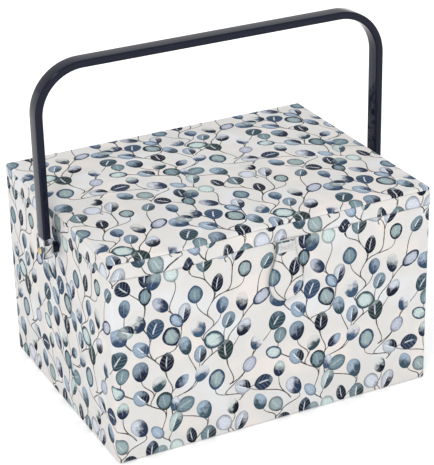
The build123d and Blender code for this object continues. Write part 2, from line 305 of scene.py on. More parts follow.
class Leaf:
    """One printed leaf: place, pointing angle, size and ink."""

    def __init__(self, chance, x, y, length):
        self.x, self.y = x, y
        self.angle = math.radians(90 + chance.gauss(0, 34))
        self.length = length * chance.uniform(0.88, 1.16)
        self.width = self.length * chance.choice((0.72, 0.78, 0.84, 0.62))
        self.point = chance.choice((0.5, 0.52, 0.58, 0.66))
        self.skew = chance.uniform(-0.14, 0.22)
        self.seed = chance.random()
        self.ink(chance)

    def ink(self, chance):
        """Picks how the leaf is coloured."""
        names = list(LEAF_STYLES)
        self.style = LEAF_STYLES[chance.choices(names, [LEAF_STYLES[n][0] for n in names])[0]]
        self.dark = chance.choice(DARK_INKS)
        self.light = chance.choice(LIGHT_INKS)
        self.wash = chance.uniform(-0.7, 0.7)

    def outline(self, points=24):
        """Anticlockwise outline."""
        ax, ay = math.cos(self.angle), math.sin(self.angle)
        made = []
        for step in range(points):
            turn = math.tau * step / points
            along = math.cos(turn)
            across = math.copysign(abs(math.sin(turn)) ** (2 * self.point), math.sin(turn))
            across *= self.width / 2 * (1 + self.skew * along)
            along *= self.length / 2
            made.append((self.x + ax * along - ay * across, self.y + ay * along + ax * across))
        return made

    def base(self):
        """Where the stem joins."""
        reach = self.length / 2
        return (self.x - reach * math.cos(self.angle), self.y - reach * math.sin(self.angle))


def spread_points(chance, count, width, height):
    """Evenly loose points on a repeating rectangle, each the best of several tries."""
    made = [(chance.random() * width, chance.random() * height)]
    while len(made) < count:
        best = max(
            ((chance.random() * width, chance.random() * height) for _ in range(26 + len(made))),
            key=lambda p: min(
                math.hypot((p[0] - q[0] + width / 2) % width - width / 2,
                           ((p[1] - q[1] + height / 2) % height - height / 2) * 1.05) for q in made))
        made.append(best)
    return made


def curve_points(start, leave, end, arrive, steps):
    """Points on a smooth curve that leaves and arrives along given directions."""
    reach = 0.42 * math.dist(start, end)
    controls = [start, (start[0] + leave[0] * reach, start[1] + leave[1] * reach),
                (end[0] - arrive[0] * reach, end[1] - arrive[1] * reach), end]
    made = []
    for step in range(steps + 1):
        t = step / steps
        weights = ((1 - t) ** 3, 3 * t * (1 - t) ** 2, 3 * t * t * (1 - t), t ** 3)
        made.append(tuple(sum(w * c[axis] for w, c in zip(weights, controls)) for axis in (0, 1)))
    return made


def draw_repeat():
    """Leaves and stems of one repeat of the print, both in millimetres."""
    chosen = settings("box_print")
    chance = random.Random(chosen.seed)
    width, height = chosen.repeat_width * 1000, chosen.repeat_height * 1000
    length = chosen.leaf_length * 1000
    leaves = [Leaf(chance, x, y, length) for x, y in spread_points(chance, chosen.leaves, width, height)]
    for number, leaf in enumerate(leaves):
        close = [other for other in leaves[:number] if math.hypot(
            (leaf.x - other.x + width / 2) % width - width / 2,
            (leaf.y - other.y + height / 2) % height - height / 2) < 33]
        for _ in range(12):
            if not any(o.style == leaf.style or (o.light == leaf.light and o.dark == leaf.dark) for o in close):
                break
            leaf.ink(chance)
    leaves.sort(key=lambda leaf: leaf.y)
    centres = np.array([(leaf.x, leaf.y) for leaf in leaves])
    shifts = [(i * width, j * height) for i in (-1, 0, 1) for j in (-1, 0, 1)]
    all_centres = np.concatenate([centres + shift for shift in shifts])
    nodes = []
    stems = [None] * len(leaves)

    def connect(number, leaf):
        base = leaf.base()
        arrive = (math.cos(leaf.angle), math.sin(leaf.angle))
        best = None
        for node in nodes:
            for dx in (-width, 0, width):
                for dy in (0, -height):
                    spot = (node[0] + dx, node[1] + dy)
                    drop = base[1] - spot[1]
                    apart = math.dist(base, spot)
                    if not (9 < apart < 52 and drop > 0.45 * apart) or node[4] == number:
                        continue
                    line = np.linspace(spot, base, 9)[1:-1]
                    near = np.hypot(*(line[:, None, :] - all_centres[None]).transpose(2, 0, 1))
                    covered = (near < 8.0).any(1).mean()
                    across = abs(arrive[0] * (base[1] - spot[1]) - arrive[1] * (base[0] - spot[0])) / apart
                    cost = abs(apart - 24) * 0.06 + covered * 3.4 + across * 1.1
                    if best is None or cost < best[0]:
                        best = (cost, spot, (node[2], node[3]))
        if best is None or best[0] > 3.4:
            drop = chance.uniform(22, 34)
            start = (base[0] - arrive[0] * drop * 0.6 + chance.uniform(-8, 8), base[1] - drop)
            leave = (chance.uniform(-0.3, 0.3), 0.95)
        else:
            start, leave = best[1], best[2]
        return curve_points(start, leave, base, arrive, 9)

    def record(number, line):
        for first, second in zip(line[1:-2], line[2:-1]):
            size = math.dist(first, second) or 1
            nodes.append((*first, (second[0] - first[0]) / size, (second[1] - first[1]) / size, number))

    for turn in range(2):
        for number, leaf in enumerate(leaves):
            if turn and number >= len(leaves) // 3:
                break
            stems[number] = connect(number, leaf)
            if turn:
                nodes[:] = [node for node in nodes if node[4] != number]
            record(number, stems[number])
    for leaf in chance.sample(leaves, max(2, len(leaves) // 12)):
        side = chance.choice((-1, 1))
        partner = Leaf(chance, leaf.x + side * leaf.width * 0.62, leaf.y - leaf.length * 0.28, length * 0.92)
        partner.angle = leaf.angle - side * chance.uniform(0.3, 0.9)
        leaves.append(partner)
    return leaves, stems, width, height


def stem_outline(line):
    """Anticlockwise outline of a thin tapered stem."""
    points = np.array(line)
    ahead = np.gradient(points, axis=0)
    ahead /= np.linalg.norm(ahead, axis=1)[:, None] + 1e-9
    side = np.stack([-ahead[:, 1], ahead[:, 0]], 1)
    half = np.linspace(0.60, 0.38, len(points))[:, None]
    return [tuple(p) for p in points - side * half] + [tuple(p) for p in (points + side * half)[::-1]]


class Cloth:
    """The printed cloth, cut for one panel at a time."""
    drawn = None

    @classmethod
    def motifs(cls, low, high, shift):
        """Stems, then leaves, that reach into a rectangle of cloth. Each is (outline, leaf or None, dx, dy)."""
        if cls.drawn is None:
            cls.drawn = draw_repeat()
        leaves, stems, width, height = cls.drawn
        found = ([], [])
        first = [math.floor((low[i] - shift[i] - 60) / size) for i, size in enumerate((width, height))]
        last = [math.ceil((high[i] - shift[i] + 60) / size) for i, size in enumerate((width, height))]
        for column in range(first[0], last[0] + 1):
            for row in range(first[1], last[1] + 1):
                dx, dy = column * width + shift[0], row * height + shift[1]
                items = [(stem_outline(line), None) for line in stems]
                items += [(leaf.outline(), leaf) for leaf in leaves]
                for outline, leaf in items:
                    moved = [(x + dx, y + dy) for x, y in outline]
                    xs, ys = zip(*moved)
                    if max(xs) > low[0] and min(xs) < high[0] and max(ys) > low[1] and min(ys) < high[1]:
                        found[leaf is not None].append((moved, leaf, dx, dy))
        return found[0] + found[1]


def inlaid_mesh(name, outline, lift, shift=(0, 0), folds=(), grid=9.0, printed=True, crease_shade=None):
    """A cloth panel cut to outline, with the print laid in as faces of its own.

    lift turns flat points (N x 2) into points on the object (N x 3), in millimetres. Folds are
    lists of flat points that edges have to follow. Crease shade gives how much painted shade darkens flat points
    along seams, folds and turned edges, from 0 to 1."""
    outline = [tuple(p) for p in outline]
    flat = np.array(outline)
    low, high = flat.min(0), flat.max(0)
    motifs = Cloth.motifs(low, high, shift) if printed else []
    points, edges, faces = list(outline), [], [list(range(len(outline)))]
    for line, _, _, _ in motifs:
        faces.append(list(range(len(points), len(points) + len(line))))
        points.extend(line)
    for line in folds:
        start = len(points)
        points.extend(tuple(p) for p in line)
        edges.extend((start + i, start + i + 1) for i in range(len(line) - 1))
    chance = random.Random(5)
    columns = max(2, round((high[0] - low[0]) / grid))
    rows = max(2, round((high[1] - low[1]) / grid))
    for i in range(1, columns):
        for j in range(1, rows):
            points.append((low[0] + (high[0] - low[0]) * (i + chance.uniform(-0.2, 0.2)) / columns,
                           low[1] + (high[1] - low[1]) * (j + chance.uniform(-0.2, 0.2)) / rows))
    made = delaunay_2d_cdt([Vector(p) for p in points], edges, faces, 0, 1e-4, True)
    corners = np.array([(v.x, v.y) for v in made[0]])
    triangles, owners = [], []
    for triangle, sources in zip(made[2], made[5]):
        if 0 in sources:
            triangles.append(triangle)
            owners.append(sources)
    triangles = np.array(triangles)
    used, triangles = np.unique(triangles, return_inverse=True)
    triangles = triangles.reshape(-1, 3)
    corners = corners[used]
    mesh = bpy.data.meshes.new(name)
    mesh.from_pydata((lift(corners) * MM).tolist(), [], triangles.tolist())
    ink_faces(mesh, corners, triangles, owners, motifs)
    # Painted shade: 0 to 1 at each point, how much the printed cotton darkens seams, folds and turned edges.
    depth = crease_shade(corners) if crease_shade else np.zeros(len(corners))
    layer = mesh.attributes.new("crease_shade", "FLOAT", "POINT")
    layer.data.foreach_set("value", depth.astype(np.float32))
    return mesh


def ink_faces(mesh, corners, triangles, owners, motifs):
    """Writes what each face of a panel is printed with as mesh attributes."""
    count = len(triangles)
    place = np.zeros((count, 3, 3), np.float32)
    dark = np.zeros((count, 3, 4), np.float32)
    light = np.zeros((count, 3, 4), np.float32)
    style = np.zeros((count, 3, 3), np.float32)
    wash = np.zeros((count, 3, 3), np.float32)
    place[..., 2] = 0.5
    for number, sources in enumerate(owners):
        leaves = sorted(s - 1 for s in sources if s and motifs[s - 1][1] is not None)
        if not leaves:
            wash[number, :, 2] = 2.0 if len(sources) > 1 else 0.0
            continue
        _, leaf, dx, dy = motifs[leaves[-1]]
        away = corners[triangles[number]] - (leaf.x + dx, leaf.y + dy)
        ax, ay = math.cos(leaf.angle), math.sin(leaf.angle)
        along = (away[:, 0] * ax + away[:, 1] * ay) / (leaf.length / 2)
        across = (away[:, 1] * ax - away[:, 0] * ay) / (leaf.width / 2)
        place[number, :, 0], place[number, :, 1], place[number, :, 2] = across, along, leaf.point
        shade = 0.62 if len(leaves) > 1 else 1.0
        dark[number] = (*[c * shade for c in leaf.dark], leaf.style[5])
        light[number] = (*[c * shade for c in leaf.light], leaf.seed)
        style[number] = leaf.style[1:4]
        wash[number] = (leaf.wash, leaf.style[4], 1.0)
    flat = np.zeros((count, 3, 3), np.float32)
    flat[..., :2] = corners[triangles]
    for name, kind, data in (("leaf_place", "FLOAT_VECTOR", place), ("leaf_dark", "FLOAT_COLOR", dark),
                             ("leaf_light", "FLOAT_COLOR", light), ("leaf_style", "FLOAT_VECTOR", style),
                             ("leaf_wash", "FLOAT_VECTOR", wash), ("cloth_place", "FLOAT_VECTOR", flat)):
        layer = mesh.attributes.new(name, kind, "CORNER")
        layer.data.foreach_set("color" if kind == "FLOAT_COLOR" else "vector", data.ravel())


def printed_cotton():
    """Cotton with leaves washed in from the faces' own inks."""
    found = bpy.data.materials.get("printed cotton")
    if found:
        return found
    chosen = settings("box_print")
    g = Graph("printed cotton")
    cloth = g.attribute("cloth_place")
    across, along, point = g.parts(g.attribute("leaf_place"))
    rim, split, vein = g.parts(g.attribute("leaf_style"))
    tilt, offset, kind = g.parts(g.attribute("leaf_wash"))
    dark, fade = g.attribute("leaf_dark", "Color"), g.attribute("leaf_dark", "Alpha")
    light = g.attribute("leaf_light", "Color")
    soft = g.noise(cloth, 0.16, 3.0, 0.6)
    grain = g.noise(cloth, 0.75, 3.0, 0.65)
    drift = g.math("SUBTRACT", soft, 0.5)
    size = g.math("ABSOLUTE", across)
    edge = g.math("ADD", g.math("POWER", size, g.math("DIVIDE", 1.0, point)), g.math("MULTIPLY", along, along))
    washed = g.math("MULTIPLY_ADD", across, tilt, along)
    washed = g.math("MULTIPLY_ADD", drift, 2.4, washed)
    colour = g.mix(dark, light, g.step(g.math("SUBTRACT", washed, offset), -0.55, 0.65))
    bend = g.math("MULTIPLY_ADD", g.math("MULTIPLY", along, along), -0.16, 0.08)
    side = g.math("SUBTRACT", across, bend)
    colour = g.mix(colour, light, g.math("MULTIPLY", g.step(side, -0.03, 0.05), g.math("MULTIPLY", split, 0.85)))
    ring = g.math("MULTIPLY_ADD", drift, 0.9, edge)
    colour = g.mix(colour, dark, g.math("MULTIPLY", g.step(ring, 0.40, 0.80), rim))
    ribs = g.math("SINE", g.math("MULTIPLY", g.math("MULTIPLY_ADD", size, -0.6, along), 15.0))
    ribs = g.math("MULTIPLY", g.step(ribs, 0.80, 0.98), g.math("MULTIPLY", vein, 0.22))
    colour = g.mix(colour, linear(222, 228, 236), ribs)
    midrib = g.math("MULTIPLY", g.step(g.math("ABSOLUTE", side), 0.05, 0.11, 1.0, 0.0),
                    g.step(g.math("MULTIPLY_ADD", drift, 0.8, g.math("ABSOLUTE", along)), 0.42, 0.62, 1.0, 0.0))
    colour = g.mix(colour, linear(226, 230, 236), g.math("MULTIPLY", midrib, vein))
    colour = g.mix(colour, dark, g.math("MULTIPLY", g.step(edge, 0.86, 0.97), 0.45))
    grains = g.step(grain, 0.30, 0.70, 0.80, 1.10)
    shade = g.nodes.new("ShaderNodeVectorMath")
    shade.operation = "SCALE"
    g.plug(shade.inputs[0], colour)
    g.plug(shade.inputs["Scale"], grains)
    broad = g.noise(cloth, 0.022, 2.0)
    ground = tuple(chosen.cloth_colour)
    ground = g.mix(ground, linear(236, 224, 218), g.step(broad, 0.5, 0.7, 0.0, 0.45))
    ground = g.mix(ground, linear(222, 226, 233), g.step(broad, 0.5, 0.3, 0.0, 0.45))
    solid = g.math("SUBTRACT", 1.0, g.math("MULTIPLY", fade, g.step(washed, -0.5, 0.75)))
    leaf = g.mix(ground, shade.outputs[0], solid)
    is_leaf = g.math("COMPARE", kind, 1.0, 0.4)
    is_stem = g.math("COMPARE", kind, 2.0, 0.4)
    colour = g.mix(ground, leaf, is_leaf)
    colour = g.mix(colour, tuple(chosen.stem_colour), g.math("MULTIPLY", is_stem, g.step(soft, 0.3, 0.6, 0.72, 1.0)))
    # Painted shade: seams, fold valleys and turned edges darkened towards grey-blue (70, 72, 80), standing in for
    # the shadow in them.
    crease_shade = g.math("MULTIPLY", g.attribute("crease_shade", "Fac"), 0.62)
    colour = g.mix(colour, linear(70, 72, 80), crease_shade)
    woven = g.nodes.new("ShaderNodeVectorMath")
    woven.operation = "SCALE"
    g.plug(woven.inputs[0], colour)
    g.plug(woven.inputs["Scale"], g.step(g.noise(cloth, 1.4, 2.0, 0.8), 0.28, 0.72, 0.93, 1.05))
    colour = woven.outputs[0]
    g.bump(weave_height(g, cloth, 1.5), 0.30, 0.00016)
    return g.finish(colour, 0.85, Sheen_Weight=0.02, Specular_IOR_Level=0.08)


# ------------------------------------------------------------------ shaping helpers
def add_object(name, mesh, material, smooth=True):
    """A linked object with one material."""
    made = bpy.data.objects.new(name, mesh)
    bpy.context.scene.collection.objects.link(made)
    mesh.materials.clear()
    mesh.materials.append(material)
    if smooth:
        mesh.polygons.foreach_set("use_smooth", [True] * len(mesh.polygons))
    return made


def thicken(obj, thickness, outward=-1.0):
    """Gives cloth its thickness."""
    made = obj.modifiers.new("cloth", "SOLIDIFY")
    made.thickness = thickness
    made.offset = outward
    return obj


def soften(obj, width, segments=2):
    """Rounds an object's edges."""
    made = obj.modifiers.new("edges", "BEVEL")
    made.width = width
    made.segments = segments
    made.limit_method = "ANGLE"
    made.angle_limit = math.radians(40)
    made.harden_normals = False
    return obj


def lumps(points, scale, seed=0.0):
    """Smooth noise from -1 to 1 at points in millimetres."""
    return np.array([noise.noise(Vector((p[0] * scale, p[1] * scale, seed + (p[2] * scale if len(p) > 2 else 0))))
                     for p in points])


def ring_point(s, inset, half_x=None, half_y=None, radius=CORNER):
    """Place and outward direction at distance s round a rounded rectangle, from its back left corner,
    anticlockwise from above. The inset shrinks the rectangle without moving corners along it."""
    half_x = HALF_X if half_x is None else half_x
    half_y = HALF_Y if half_y is None else half_y
    arc = math.pi * radius / 2
    x, y = np.zeros_like(s), np.zeros_like(s)
    nx, ny = np.zeros_like(s), np.zeros_like(s)
    start = 0.0
    small = np.maximum(radius - inset, 0.25)
    for wall in range(4):
        turn = math.pi + wall * math.pi / 2
        out = (math.cos(turn), math.sin(turn))
        ahead = (-out[1], out[0])
        wide, deep = (half_y, half_x) if wall % 2 == 0 else (half_x, half_y)
        length = 2 * (wide - radius)
        last = s.max() + 1 if wall == 3 else start + length + arc
        here = (s >= start - (1e9 if wall == 0 else 0)) & (s < last)
        share = np.clip((s - start) / length, 0, 1)
        bend = np.clip((s - start - length) / arc, 0, 1) * math.pi / 2
        run = (2 * share - 1) * (wide - inset - small)
        middle = deep - inset - small
        ox, oy = np.cos(turn + bend), np.sin(turn + bend)
        px = out[0] * middle + ahead[0] * run + ox * small
        py = out[1] * middle + ahead[1] * run + oy * small
        x[here], y[here], nx[here], ny[here] = px[here], py[here], ox[here], oy[here]
        start += length + arc
    return x, y, nx, ny


RING = 4 * (HALF_X + HALF_Y) - 8 * CORNER + math.tau * CORNER
FRONT_START = 2 * (HALF_Y - CORNER) + math.pi * CORNER / 2


def ring_folds():
    """Distances round the box where the cloth bends at a corner."""
    arc = math.pi * CORNER / 2
    made, start = [], 0.0
    for wall in range(4):
        start += 2 * ((HALF_Y if wall % 2 == 0 else HALF_X) - CORNER)
        made += [start + arc * i / 6 for i in range(7)]
        start += arc
    return made


def strip_outline(length, height, step=11.0):
    """Anticlockwise outline of a long strip, with points along its edges."""
    count = round(length / step)
    low = [(length * i / count, 0.0) for i in range(count + 1)]
    return low + [(x, height) for x, _ in low[::-1]]


def strip_folds(length, levels, stops):
    """Fold lines of a strip: along it at levels, and across it at stops."""
    top = max(levels)
    count = round(length / 9.0)
    lines = [[(length * (i + 0.0005) / (count + 0.001), level) for i in range(count + 1)] for level in levels[1:-1]]
    return lines + [[(s, 0.02), (s, top - 0.02)] for s in stops if 0.5 < s < length - 0.5]


def path_lengths(path):
    """Distance along a path at each of its points."""
    steps = [math.dist(a, b) for a, b in zip(path, path[1:])]
    return [sum(steps[:i]) for i in range(len(path))]


def turned_edge(start, end, count=5):
    """Points of a quarter round between two points, leaving start along Z."""
    made = []
    for i in range(count + 1):
        a = math.pi / 2 * i / count
        made.append((start[0] + (end[0] - start[0]) * (1 - math.cos(a)),
                     start[1] + (end[1] - start[1]) * math.sin(a)))
    return made


# ------------------------------------------------------------------ covers
def build_body_cloth():
    """Cloth round the four walls, turned in over the top edge and under the base."""
    top = BODY_TOP
    path = [(9.0, 0.45), (2.2, 0.45)] + turned_edge((0.0, 1.5), (1.3, 0.45))[::-1]
    path += turned_edge((0.0, top - 1.3), (1.3, top)) + [(4.1, top)]
    levels = path_lengths(path)
    insets, heights = [p[0] for p in path], [p[1] for p in path]

    def lift(flat):
        inset = np.interp(flat[:, 1], levels, insets)
        z = np.interp(flat[:, 1], levels, heights)
        x, y, nx, ny = ring_point(flat[:, 0], inset)
        middle = np.clip((z - 4) / 30, 0, 1) * np.clip((top - 4 - z) / 20, 0, 1)
        swell = 0.35 * lumps(np.stack([x, y, z], 1), 0.014, 3.0) * middle
        return np.stack([x + nx * swell, y + ny * swell, z], 1)

    mesh = inlaid_mesh("body_cloth", strip_outline(RING, levels[-1]), lift, (20, 14),
                       strip_folds(RING, levels, ring_folds()))
    made = thicken(add_object("body_cloth", mesh, printed_cotton()), settings("box_covers").cloth)
    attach(made, "box")
    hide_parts("body_cover")


def build_base():
    """Plain cloth stretched over the underside, its edges covering the turned-in print."""
    outline, _ = rounded_rectangle(HALF_X - 1.6, HALF_Y - 1.6, 2.0, 0.0, 12.0)
    top = node_mm("base_cover")[1][2] - 0.1
    shell = bmesh.new()
    for z, flip in ((0.0, True), (top, False)):
        corners = [shell.verts.new((x * MM, y * MM, z * MM)) for x, y in outline]
        shell.faces.new(corners[::-1] if flip else corners)
        if not flip:
            count = len(corners)
            shell.verts.ensure_lookup_table()
            for i in range(count):
                j = (i + 1) % count
                shell.faces.new([shell.verts[i], shell.verts[j], corners[j], corners[i]])
    bmesh.ops.recalc_face_normals(shell, faces=shell.faces)
    mesh = bpy.data.meshes.new("base_cloth")
    shell.to_mesh(mesh)
    shell.free()
    made = soften(add_object("base_cloth", mesh, woven_base(), False), 0.0004)
    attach(made, "box")
    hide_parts("base_cover")


def hem_drop(s):
    """How low the lid's hem hangs, at distance s round the box."""
    low = FRONT_START + HALF_X - 105
    drop = settings("box_covers").hem_drop * 1000
    return drop * np.exp(-((s - low) / 52.0) ** 2) + 0.25 * np.sin(s / 23.0) + 0.25


def hem_free(s):
    """1 where the lid's hem hangs free, and 0 along the back, where it has to clear the body as it turns."""
    back = FRONT_START + 2 * (HALF_X - CORNER) + 2 * (HALF_Y - CORNER) + math.pi * CORNER
    first, last = np.clip(s / 8.0, 0, 1), np.clip((back - 4.0 - s) / 8.0, 0, 1)
    return np.minimum(first, last)


def rim_profile(level, drop, free):
    """Inset and height of the rim's cloth: a flat turn-in, a hanging hem, and the band up to the seam."""
    bottom, top = RIM_BOTTOM + 0.15 + 0.4 * (1 - free), RIM_TOP
    hem, drop = 0.55 * free, drop * free
    out = 0.25 * free
    points = [(4.1, bottom), (-out, bottom), (-out, bottom - drop), (-out - hem * 0.5, bottom - drop - 0.3 * free),
              (-out - hem, bottom - drop + 0.1), (-out - hem, bottom - drop + 2.0), (-0.3 * free, bottom + 7.0),
              (-0.05, top - 2.2 - 0.7 * drop), (0.25, top - 0.9 - 0.7 * drop), (1.2, top - 0.25 - 0.7 * drop)]
    shares = np.interp(level, RIM_LEVELS, range(len(points)))
    whole = np.clip(np.floor(shares).astype(int), 0, len(points) - 2)
    part = shares - whole
    insets = np.array([p[0] + 0 * drop for p in points])
    heights = np.array([p[1] + 0 * drop for p in points])
    pick = np.arange(len(level))
    inset = insets[whole, pick] * (1 - part) + insets[whole + 1, pick] * part
    z = heights[whole, pick] * (1 - part) + heights[whole + 1, pick] * part
    return inset, z


RIM_LEVELS = [0.0, 4.3, 5.6, 5.9, 6.3, 8.4, 13.2, 18.4, 19.8, 20.9]


def build_rim_cloth():
    """Band of printed cloth round the lid's rim, with a soft hem that hangs a little at the front left."""
    def lift(flat):
        inset, z = rim_profile(flat[:, 1], hem_drop(flat[:, 0]), hem_free(flat[:, 0]))
        x, y, nx, ny = ring_point(flat[:, 0], np.maximum(inset, 0.0))
        proud = -np.minimum(inset, 0.0)
        proud = proud + 0.12 * lumps(np.stack([x, y, z], 1), 0.05, 8.0) * (inset < 0.4)
        return np.stack([x + nx * proud, y + ny * proud, z], 1)

    # The crease shade paints shade along the hem's lowest fold and at the seam under the padded top.
    mesh = inlaid_mesh("lid_rim_cloth", strip_outline(RING, RIM_LEVELS[-1], 6.0), lift, (61, 3),
                       strip_folds(RING, RIM_LEVELS, ring_folds()), grid=7.0,
                       crease_shade=lambda flat: 0.9 * np.exp(-((flat[:, 1] - 5.9) / 0.5) ** 2)
                       + 0.6 * np.clip((flat[:, 1] - 19.6) / 1.2, 0, 1))
    made = thicken(add_object("lid_rim_cloth", mesh, printed_cotton()), 0.0004)
    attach(made, "lid")
    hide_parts("lid_rim_cover")


def blown_heights(half_x, half_y, columns, rows):
    """Heights from 0 to 1 of a sheet held at its edge and blown up from below, as a grid."""
    xs, ys = np.linspace(-half_x, half_x, columns + 1), np.linspace(-half_y, half_y, rows + 1)
    mesh = bpy.data.meshes.new("blown")
    points = [(x * MM, y * MM, 0) for y in ys for x in xs]
    wide = columns + 1
    mesh.from_pydata(points, [], [(j * wide + i, j * wide + i + 1, (j + 1) * wide + i + 1, (j + 1) * wide + i)
                                  for j in range(rows) for i in range(columns)])
    made = bpy.data.objects.new("blown", mesh)
    bpy.context.scene.collection.objects.link(made)
    held = made.vertex_groups.new(name="held")
    held.add([j * wide + i for j in range(rows + 1) for i in range(wide)
              if i in (0, columns) or j in (0, rows)], 1.0, "REPLACE")
    cloth = made.modifiers.new("Cloth", "CLOTH")
    cloth.settings.vertex_group_mass = "held"
    cloth.settings.use_pressure = True
    cloth.settings.uniform_pressure_force = 4.0
    cloth.settings.effector_weights.gravity = 0.0
    cloth.settings.tension_stiffness = 30
    cloth.settings.quality = 6
    cloth.point_cache.frame_end = 20
    for number in range(1, 21):
        bpy.context.scene.frame_set(number)
    shaped = made.evaluated_get(bpy.context.evaluated_depsgraph_get())
    heights = np.array([v.co.z for v in shaped.data.vertices]).reshape(rows + 1, wide)
    bpy.data.objects.remove(made)
    bpy.context.scene.frame_set(1)
    return xs, ys, np.abs(heights) / max(np.abs(heights).max(), 1e-9)


def grid_value(xs, ys, table, x, y):
    """A table's value between its grid points."""
    i = np.clip(np.searchsorted(xs, x) - 1, 0, len(xs) - 2)
    j = np.clip(np.searchsorted(ys, y) - 1, 0, len(ys) - 2)
    u = np.clip((x - xs[i]) / (xs[i + 1] - xs[i]), 0, 1)
    v = np.clip((y - ys[j]) / (ys[j + 1] - ys[j]), 0, 1)
    return ((table[j, i] * (1 - u) + table[j, i + 1] * u) * (1 - v)
            + (table[j + 1, i] * (1 - u) + table[j + 1, i + 1] * u) * v)


EDGE_STEPS = (0.0, 0.12, 0.4, 0.9, 1.6, 2.6, 4.2, 7.0, 12.0)


def rounded_rectangle(half_x, half_y, radius, inset=0.0, step=10.0):
    """Anticlockwise points of a rounded rectangle."""
    around = 4 * (half_x + half_y) - 8 * radius + math.tau * radius
    stops, start = [], 0.0
    arc = math.pi * radius / 2
    for wall in range(4):
        length = 2 * ((half_y if wall % 2 == 0 else half_x) - radius)
        count = max(2, round(length / step))
        stops += [start + length * i / count for i in range(count)]
        stops += [start + length + arc * i / 5 for i in range(5)]
        start += length + arc
    x, y, _, _ = ring_point(np.array(stops), inset, half_x, half_y, radius)
    return list(zip(x.tolist(), y.tolist())), around


def build_lid_top():
    """Padded top of the lid: printed cloth over wadding, crowned, and closed underneath."""
    xs, ys, blown = blown_heights(HALF_X - 4, HALF_Y - 4, 44, 34)
    crown = settings("box_covers").crown * 1000
    half_x, half_y = HALF_X - 0.15, HALF_Y - 0.15

    def edge_distance(flat):
        x, y = half_x - np.abs(flat[:, 0]), half_y - np.abs(flat[:, 1])
        corner = np.maximum(CORNER - x, 0) ** 2 + np.maximum(CORNER - y, 0) ** 2
        near = np.minimum(x, y)
        rounded = CORNER - np.sqrt(corner)
        return np.clip(np.where((x < CORNER) & (y < CORNER), rounded, near), 0, None)

    def lift(flat):
        away = edge_distance(flat)
        roll = 3.0
        rise = 2.7 * np.sqrt(np.clip(1 - (1 - np.clip(away / roll, 0, 1)) ** 2, 0, 1))
        x, y = flat[:, 0], flat[:, 1]
        puff = crown * grid_value(xs, ys, blown, x, y)
        fade = np.clip(away / 14, 0, 1)
        puff = puff + 0.30 * lumps(flat, 0.022, 5.0) * fade + 0.16 * lumps(flat, 0.07, 9.0) * fade
        low = hem_near(x, y) * 0.7 * np.exp(-away / 26)
        z = RIM_TOP - 0.35 + rise + puff - low
        return np.stack([x, y, z], 1)

    outline, _ = rounded_rectangle(half_x, half_y, CORNER, 0.0, 8.0)
    folds = []
    for inset in EDGE_STEPS[1:]:
        line, _ = rounded_rectangle(half_x, half_y, CORNER, inset, 8.0)
        folds.append(line + line[:1])
    top = inlaid_mesh("lid_top", outline, lift, (8, -30), folds, grid=8.0)
    shell = bmesh.new()
    shell.from_mesh(top)
    rim = [e for e in shell.edges if e.is_boundary]
    low = RIM_TOP - 1.1
    grown = bmesh.ops.extrude_edge_only(shell, edges=rim)
    verts = [v for v in grown["geom"] if isinstance(v, bmesh.types.BMVert)]
    for v in verts:
        v.co.x *= (HALF_X - 1.6) / HALF_X
        v.co.y *= (HALF_Y - 1.6) / HALF_Y
        v.co.z = min(v.co.z, low * MM)
    edges = [e for e in shell.edges if e.is_boundary]
    bmesh.ops.holes_fill(shell, edges=edges, sides=0)
    bmesh.ops.triangulate(shell, faces=[f for f in shell.faces if len(f.verts) > 4])
    bmesh.ops.recalc_face_normals(shell, faces=shell.faces)
    shell.to_mesh(top)
    shell.free()
    made = add_object("lid_top_panel", top, printed_cotton())
    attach(made, "lid")
    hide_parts("lid_top_cover", "lid_padding")


def hem_near(x, y):
    """The hem's drop at the point of the rim nearest to x, y."""
    front = FRONT_START + np.clip(x + HALF_X - CORNER, 0, 2 * HALF_X)
    side = FRONT_START - np.clip(y + HALF_Y, 0, 2 * HALF_Y)
    to_front, to_side = y + HALF_Y, x + HALF_X
    near = np.where(to_front <= to_side, front, side)
    return hem_drop(near) * (np.minimum(to_front, to_side) < 60)


# ------------------------------------------------------------------ tab
def tab_half_outline():
    """Right half of the tab's outline from its top down to its bottom point, about its middle."""
    middle = (TAB_LOW[0] + TAB_HIGH[0]) / 2
    wide, top, bottom = (TAB_HIGH[0] - TAB_LOW[0]) / 2, TAB_HIGH[2], TAB_LOW[2]
    rough = [(0.55, 0.0), (0.575, 0.10), (0.60, 0.20), (0.70, 0.31), (0.83, 0.43), (0.95, 0.54), (1.0, 0.65),
             (0.985, 0.74), (0.90, 0.83), (0.74, 0.905), (0.52, 0.96), (0.26, 0.99), (0.0, 1.0)]
    return middle, [(wide * a, top - (top - bottom) * b) for a, b in rough]


def smooth_line(points, steps):
    """Points of a smooth curve through a list of points."""
    made = []
    padded = [points[0]] + list(points) + [points[-1]]
    for i in range(len(points) - 1):
        a, b, c, d = (np.array(p) for p in padded[i:i + 4])
        for k in range(steps):
            t = k / steps
            made.append(tuple(0.5 * (2 * b + (c - a) * t + (2 * a - 5 * b + 4 * c - d) * t * t
                                     + (3 * b - a - 3 * c + d) * t ** 3)))
    return made + [tuple(points[-1])]


def shrunk(outline, amount):
    """An outline moved inwards by an amount."""
    points = np.array(outline)
    ahead = np.roll(points, -1, 0) - np.roll(points, 1, 0)
    ahead /= np.linalg.norm(ahead, axis=1)[:, None] + 1e-9
    inward = np.stack([-ahead[:, 1], ahead[:, 0]], 1)
    return [tuple(p) for p in points + inward * amount]


def distance_inside(points, outline):
    """Distance of each point from a closed outline."""
    line = np.array(outline)
    first, second = line, np.roll(line, -1, 0)
    step = second - first
    best = np.full(len(points), 1e9)
    for a, d in zip(first, step):
        share = np.clip(((points - a) @ d) / (d @ d + 1e-9), 0, 1)
        best = np.minimum(best, np.linalg.norm(points - a - share[:, None] * d, axis=1))
    return best


